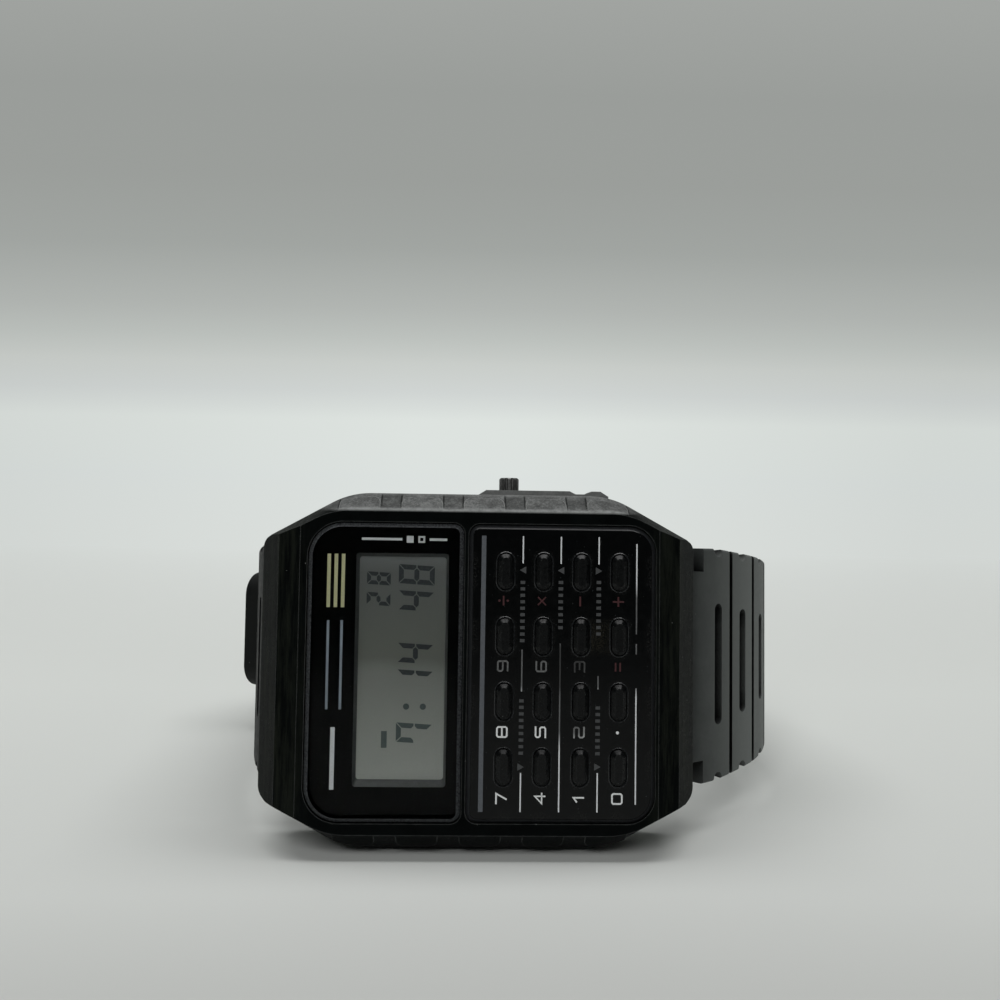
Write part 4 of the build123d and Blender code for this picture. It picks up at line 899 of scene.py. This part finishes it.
def sign(bm, name, x, y, low):
    """Add a printed operator sign."""
    if name in ("minus", "divide", "plus"):
        bar(bm, x, y, SIGN_STROKE, SIGN_LENGTH, low)
    if name == "times":
        times_sign(bm, x, y, low)
    for side in (-1, 1):
        if name == "plus":
            upright = (DIGIT_HEIGHT - SIGN_STROKE) / 2
            bar(bm, x + side * (DIGIT_HEIGHT + SIGN_STROKE) / 4, y, upright, SIGN_STROKE, low)
        if name == "divide":
            disc(bm, x + side * DIVIDE_DOT_PLACE, y, DIVIDE_DOT_RADIUS, low, sides=16)
        if name == "equals":
            bar(bm, x + side * EQUALS_PLACE, y, SIGN_STROKE, EQUALS_LENGTH, low)


def make_labels(low):
    """Lay the numbers and signs on the keypad panel."""
    numbers, signs = bmesh.new(), bmesh.new()
    for row, names in enumerate(LABELS):
        for column, name in enumerate(names):
            x = LABEL_FIRST_X + column * LABEL_PITCH_X
            y = LABEL_FIRST_Y - row * LABEL_PITCH_Y
            if name.isdigit():
                character(numbers, name, x, y, low)
            elif name == "point":
                disc(numbers, x, y, POINT_RADIUS, low)
            else:
                sign(signs, name, x, y, low)
    piece("key_numbers", numbers, print_finish("print white", WHITE_INK, wear=0.15, patchy=True))
    piece("key_signs", signs, print_finish("print red", RED_INK, wear=0.2, patchy=True))


def line_x(column):
    """Return where the printed line right of a column of keys lies."""
    return LINE_FIRST_X + column * KEY_PITCH_X


def make_lines(low):
    """Lay the lines, the bar, the arrows and the ticks on the keypad panel."""
    lines = bmesh.new()
    for column, top, bottom in LINES:
        bar(lines, line_x(column), (top + bottom) / 2, LINE_WIDTH, top - bottom, low)
    piece("keypad_lines", lines, print_finish("print lines", LINE_INK, wear=0.4, patchy=True))
    stripe = bmesh.new()
    bar(stripe, BAR_X, (LINE_TOP + LINE_BOTTOM) / 2, BAR_WIDTH, LINE_TOP - LINE_BOTTOM, low)
    piece("keypad_bar", stripe, print_finish("print lavender", LAVENDER_INK, wear=0.6))
    marks = bmesh.new()
    for column, y, point in ARROWS:
        tip = line_x(column) + point * ARROW_LENGTH / 2
        foot = line_x(column) - point * ARROW_LENGTH / 2
        flat(marks, [(tip, y), (foot, y - ARROW_WIDTH / 2), (foot, y + ARROW_WIDTH / 2)], low)
    for column, top, bottom in TICK_ROWS:
        for index in range(int((top - bottom) / TICK_STEP)):
            bar(marks, line_x(column), top - (index + 0.5) * TICK_STEP, TICK_WIDTH, TICK_LENGTH, low)
    piece("keypad_marks", marks, print_finish("print grey", GREY_INK, wear=0.6))


def stadium(x, y, reach):
    """Return a key's outline at a distance from its middle line, its long way along Y."""
    points = []
    for side, start in ((1, 0), (-1, math.pi)):
        middle = y + side * (KEY_LENGTH - KEY_WIDTH) / 2
        for k in range(RIM_END_STEPS + 1):
            angle = start + math.pi * k / RIM_END_STEPS
            points.append((x + reach * math.cos(angle), middle + reach * math.sin(angle)))
    return points


def make_key_rims():
    """Set the fine raised rim round each key hole."""
    rims = bmesh.new()
    low = PANEL_TOP + PRINT_GAP / 2
    inner = KEY_WIDTH / 2 + KEY_GAP + RIM_GAP
    section = ((inner, low), (inner + RIM_WIDTH / 2, low + RIM_HEIGHT), (inner + RIM_WIDTH, low))
    for row in range(KEY_ROWS):
        for column in range(KEY_COLUMNS):
            x = KEY_FIRST_X + column * KEY_PITCH_X
            y = KEY_FIRST_Y - row * KEY_PITCH_Y
            tube(rims, [(stadium(x, y, reach), height) for reach, height in section])
    black = plain_finish(
        "rim black", dark=(0.003, 0.0035, 0.004), light=(0.03, 0.032, 0.034), roughness=0.2, grain=5.0
    )
    piece("keypad_key_rims", rims, black)


def segment_outlines(code, share):
    """Return the outlines of one display digit's segments, right and up from its middle."""
    w, h = share * SEGMENT_WIDTH / 2, share * SEGMENT_HEIGHT / 2
    s, g = SEGMENT_STROKE * share ** 0.5, SEGMENT_GAP
    upright = [(w, g), (w, h - g), (w - s, h - g - s), (w - s, g + s / 2), (w - s / 2, g)]
    cross = [(-w + g, h), (w - g, h), (w - g - s, h - s), (-w + g + s, h - s)]
    half, tip, shoulder = s / 2, w - s / 2 - g, w - s - g
    middle = [
        (-tip, 0), (-shoulder, half), (shoulder, half),
        (tip, 0), (shoulder, -half), (-shoulder, -half),
    ]
    shapes = {
        "a": cross,
        "b": upright,
        "c": [(right, -up) for right, up in upright],
        "d": [(right, -up) for right, up in cross],
        "e": [(-right, -up) for right, up in upright],
        "f": [(-right, up) for right, up in upright],
        "g": middle,
    }
    return [shapes[name] for name in code]


def display_digit(bm, digit, x, y, share, low):
    """Add one seven-segment digit."""
    for outline in segment_outlines(SEGMENTS[digit], share):
        flat(bm, [(x - up, y + right + up * SEGMENT_SLANT) for right, up in outline], low)


def make_display():
    """Lay the dark segments on the display cell."""
    low = LCD_TOP + PRINT_GAP
    large, small = bmesh.new(), bmesh.new()
    for digit, y in TIME:
        display_digit(large, digit, TIME_X, y, 1, low)
    for x, y in COLON_PLACES:
        disc(large, x, y, COLON_RADIUS, low)
    for digit, y in DAY:
        display_digit(small, digit, DAY_X, y, DAY_SHARE, low)
    bar(small, *HALF_DAY_PLACE, *HALF_DAY_SIZE, low)
    dark = segment_finish()
    piece("display_digits", large, dark)
    piece("display_small_digits", small, dark)


def local_box(name):
    """Return a node's lowest and highest corners in the watch's millimetres."""
    inverse = WATCH.inverted()
    places = [inverse @ vertex.co for vertex in nodes[name].data.vertices]
    return tuple(Vector([pick(place[k] for place in places) for k in range(3)]) for pick in (min, max))


def rounded_box(low, high, radii, steps=8):
    """Return an outline with rounded corners. Radii are those at the low X side and at the high X side."""
    points = []
    sides = ((1, 1), (-1, 1), (-1, -1), (1, -1))
    for turn, (side_x, side_y) in enumerate(sides):
        x, radius = (high.x, radii[1]) if side_x > 0 else (low.x, radii[0])
        y = high.y if side_y > 0 else low.y
        for k in range(steps + 1):
            angle = math.pi / 2 * (turn + k / steps)
            points.append((
                x - side_x * radius + radius * math.cos(angle),
                y - side_y * radius + radius * math.sin(angle),
            ))
    return points


def make_window():
    """Make the black plate behind the lens, with its window, and the sloped frame in the window."""
    low, high = local_box("display_mask")
    outer = rounded_box(low, high, PLATE_CORNERS)
    window = rounded_box(WINDOW_LOW, WINDOW_HIGH, WINDOW_CORNERS)
    inner = rounded_box(WINDOW_LOW + WINDOW_SLOPES_LOW, WINDOW_HIGH - WINDOW_SLOPES_HIGH, WINDOW_CORNERS)
    top = high.z - PLATE_GAP
    plate, slopes = bmesh.new(), bmesh.new()
    tube(plate, [(outer, low.z), (outer, top), (window, top), (window, low.z)])
    tube(slopes, [(window, low.z), (inner, LCD_TOP + FRAME_GAP), (window, LCD_TOP + FRAME_GAP)])
    black = plain_finish("mask black", dark=MASK_DARK, light=MASK_LIGHT, roughness=0.1, gloss=0.09)
    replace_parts(piece("display_mask_plate", plate, black), "display_mask")
    grey = plain_finish("display frame grey", dark=FRAME_DARK, light=FRAME_LIGHT, roughness=0.45)
    piece("display_frame", slopes, grey)


def stripes(bm, rows, span, low):
    """Add bars side by side, rows of (place across, width), over one span along Y."""
    for x, width in rows:
        bar(bm, x, sum(span) / 2, width, span[1] - span[0], low)


def make_lens_print():
    """Lay plain generic marks on the underside of the display panel."""
    low = LENS_FLOOR + PRINT_GAP
    gold, pale, white = bmesh.new(), bmesh.new(), bmesh.new()
    stripes(gold, GOLD_STRIPES, GOLD_SPAN, low)
    stripes(pale, THIN_STRIPES, THIN_SPAN, low)
    stripes(white, WIDE_STRIPES, WIDE_SPAN, low)
    full, hollow = SQUARE_PLACES
    bar(white, full, FUNCTION_Y, SQUARE_SIZE, SQUARE_SIZE, low)
    reach = (SQUARE_SIZE - SQUARE_RIM) / 2
    for side in (-1, 1):
        bar(white, hollow + side * reach, FUNCTION_Y, SQUARE_RIM, SQUARE_SIZE, low)
        bar(white, hollow, FUNCTION_Y + side * reach, SQUARE_SIZE - 2 * SQUARE_RIM, SQUARE_RIM, low)
    for x, length in FUNCTION_STRIPES:
        bar(white, x, FUNCTION_Y, length, FUNCTION_STRIPE_WIDTH, low)
    piece("lens_gold_stripes", gold, print_finish("print gold", GOLD_INK))
    piece("lens_thin_stripes", pale, print_finish("print pale blue", PALE_BLUE_INK))
    piece("lens_white_marks", white, print_finish("print silver", SILVER_INK))


# Floor, backdrop and light
def tone_ramp(f, value, tones):
    """Return a colour that runs through tones, (value, colour) pairs in order."""
    low, high = tones[0][0], tones[-1][0]
    ramp = f.add("ShaderNodeValToRGB", [("Fac", f.span(value, (low, high)))])
    stops = ramp.color_ramp.elements
    while len(stops) < len(tones):
        stops.new(1.0)
    for stop, (place, colour) in zip(stops, tones):
        stop.position = (place - low) / (high - low)
        stop.color = (*colour, 1)
    return ramp.outputs[0]


def stage_finish():
    """The floor's tones, and behind the watch the backdrop's, which glow so that the picture keeps them;
    both hold painted light and shade, with a painted pool of light in the backdrop's middle.
    """
    f = Finish("stage")
    x, y, z = f.axes(f.add("ShaderNodeTexCoord").outputs["Object"])
    along = f.math("ADD", y, z)
    from_camera = f.math("MAXIMUM", f.math("ADD", along, CAMERA_BACK), CAMERA_BACK)
    aside = f.math("DIVIDE", f.math("ABSOLUTE", x), from_camera)
    # Painted pool of light in the backdrop's middle
    middle = f.times(f.span(aside, MIDDLE_REACH, to=(MIDDLE_LIGHT_POOL, 0.0)), f.span(along, MIDDLE_HEIGHT))
    # Backdrop tones: a painted falloff of light up the sweep and the wall
    colour = tone_ramp(f, along, BACKDROP_TONES)
    glow = f.add("ShaderNodeEmission", [("Color", colour), ("Strength", f.math("ADD", 1.0, middle))])
    # Floor tones: painted shade, darker towards the front and just before the watch
    f.set(Base_Color=tone_ramp(f, along, FLOOR_TONES), Roughness=0.8, Specular_IOR_Level=0.2)
    rays = f.add("ShaderNodeLightPath").outputs
    seen = f.math("MAXIMUM", rays["Is Camera Ray"], rays["Is Glossy Ray"])
    seen = f.math("MAXIMUM", seen, rays["Is Transmission Ray"])
    share = f.times(seen, f.span(along, BACKDROP_FROM))
    blend = f.add("ShaderNodeMixShader", [(0, share), (1, f.shader.outputs[0]), (2, glow.outputs[0])])
    f.tree.links.new(blend.outputs[0], f.output.inputs["Surface"])
    return f.material


def make_stage():
    """Make the floor with a backdrop that rises behind it in one sweep."""
    sweep_start = WALL_DISTANCE - SWEEP_RADIUS
    profile = [(FLOOR_FRONT, 0.0), (sweep_start, 0.0)]
    for k in range(1, SWEEP_STEPS + 1):
        angle = math.pi / 2 * k / SWEEP_STEPS
        rise = SWEEP_RADIUS * (1 - math.cos(angle))
        profile.append((sweep_start + SWEEP_RADIUS * math.sin(angle), rise))
    profile.append((WALL_DISTANCE, WALL_HEIGHT))
    bm = bmesh.new()
    rows = [[bm.verts.new((side * FLOOR_HALF, y, z)) for side in (-1, 1)] for y, z in profile]
    for a, b in zip(rows, rows[1:]):
        bm.faces.new((a[0], a[1], b[1], b[0]))
    mesh = bpy.data.meshes.new("stage")
    bm.to_mesh(mesh)
    bm.free()
    mesh.shade_smooth()
    mesh.materials.append(stage_finish())
    stage = link(bpy.data.objects.new("stage", mesh))


def make_lights():
    """Light the watch from a large soft lamp above, a weaker one in front and a dim room."""
    for name, (place, size, power) in LAMPS.items():
        data = bpy.data.lights.new(name, "AREA")
        data.shape = "RECTANGLE"
        data.size, data.size_y = size
        data.energy = power
        lamp = link(bpy.data.objects.new(name, data))
        lamp.location = place
        lamp.rotation_euler = (Vector(LAMP_TARGET) - Vector(place)).to_track_quat("-Z", "Y").to_euler()
    world = bpy.data.worlds.new("room")
    world.use_nodes = True
    background = world.node_tree.nodes["Background"]
    background.inputs["Color"].default_value = ROOM_COLOUR
    background.inputs["Strength"].default_value = ROOM_LIGHT
    bpy.context.scene.world = world


make_camera()
finish_shown_nodes()
finish_metal_nodes()
finish_other_nodes()
make_labels(PANEL_TOP + PRINT_GAP)
make_lines(PANEL_TOP + PRINT_GAP)
make_key_rims()
make_display()
make_window()
make_lens_print()
make_stage()
make_lights()
bpy.context.scene.view_settings.view_transform = "Standard"
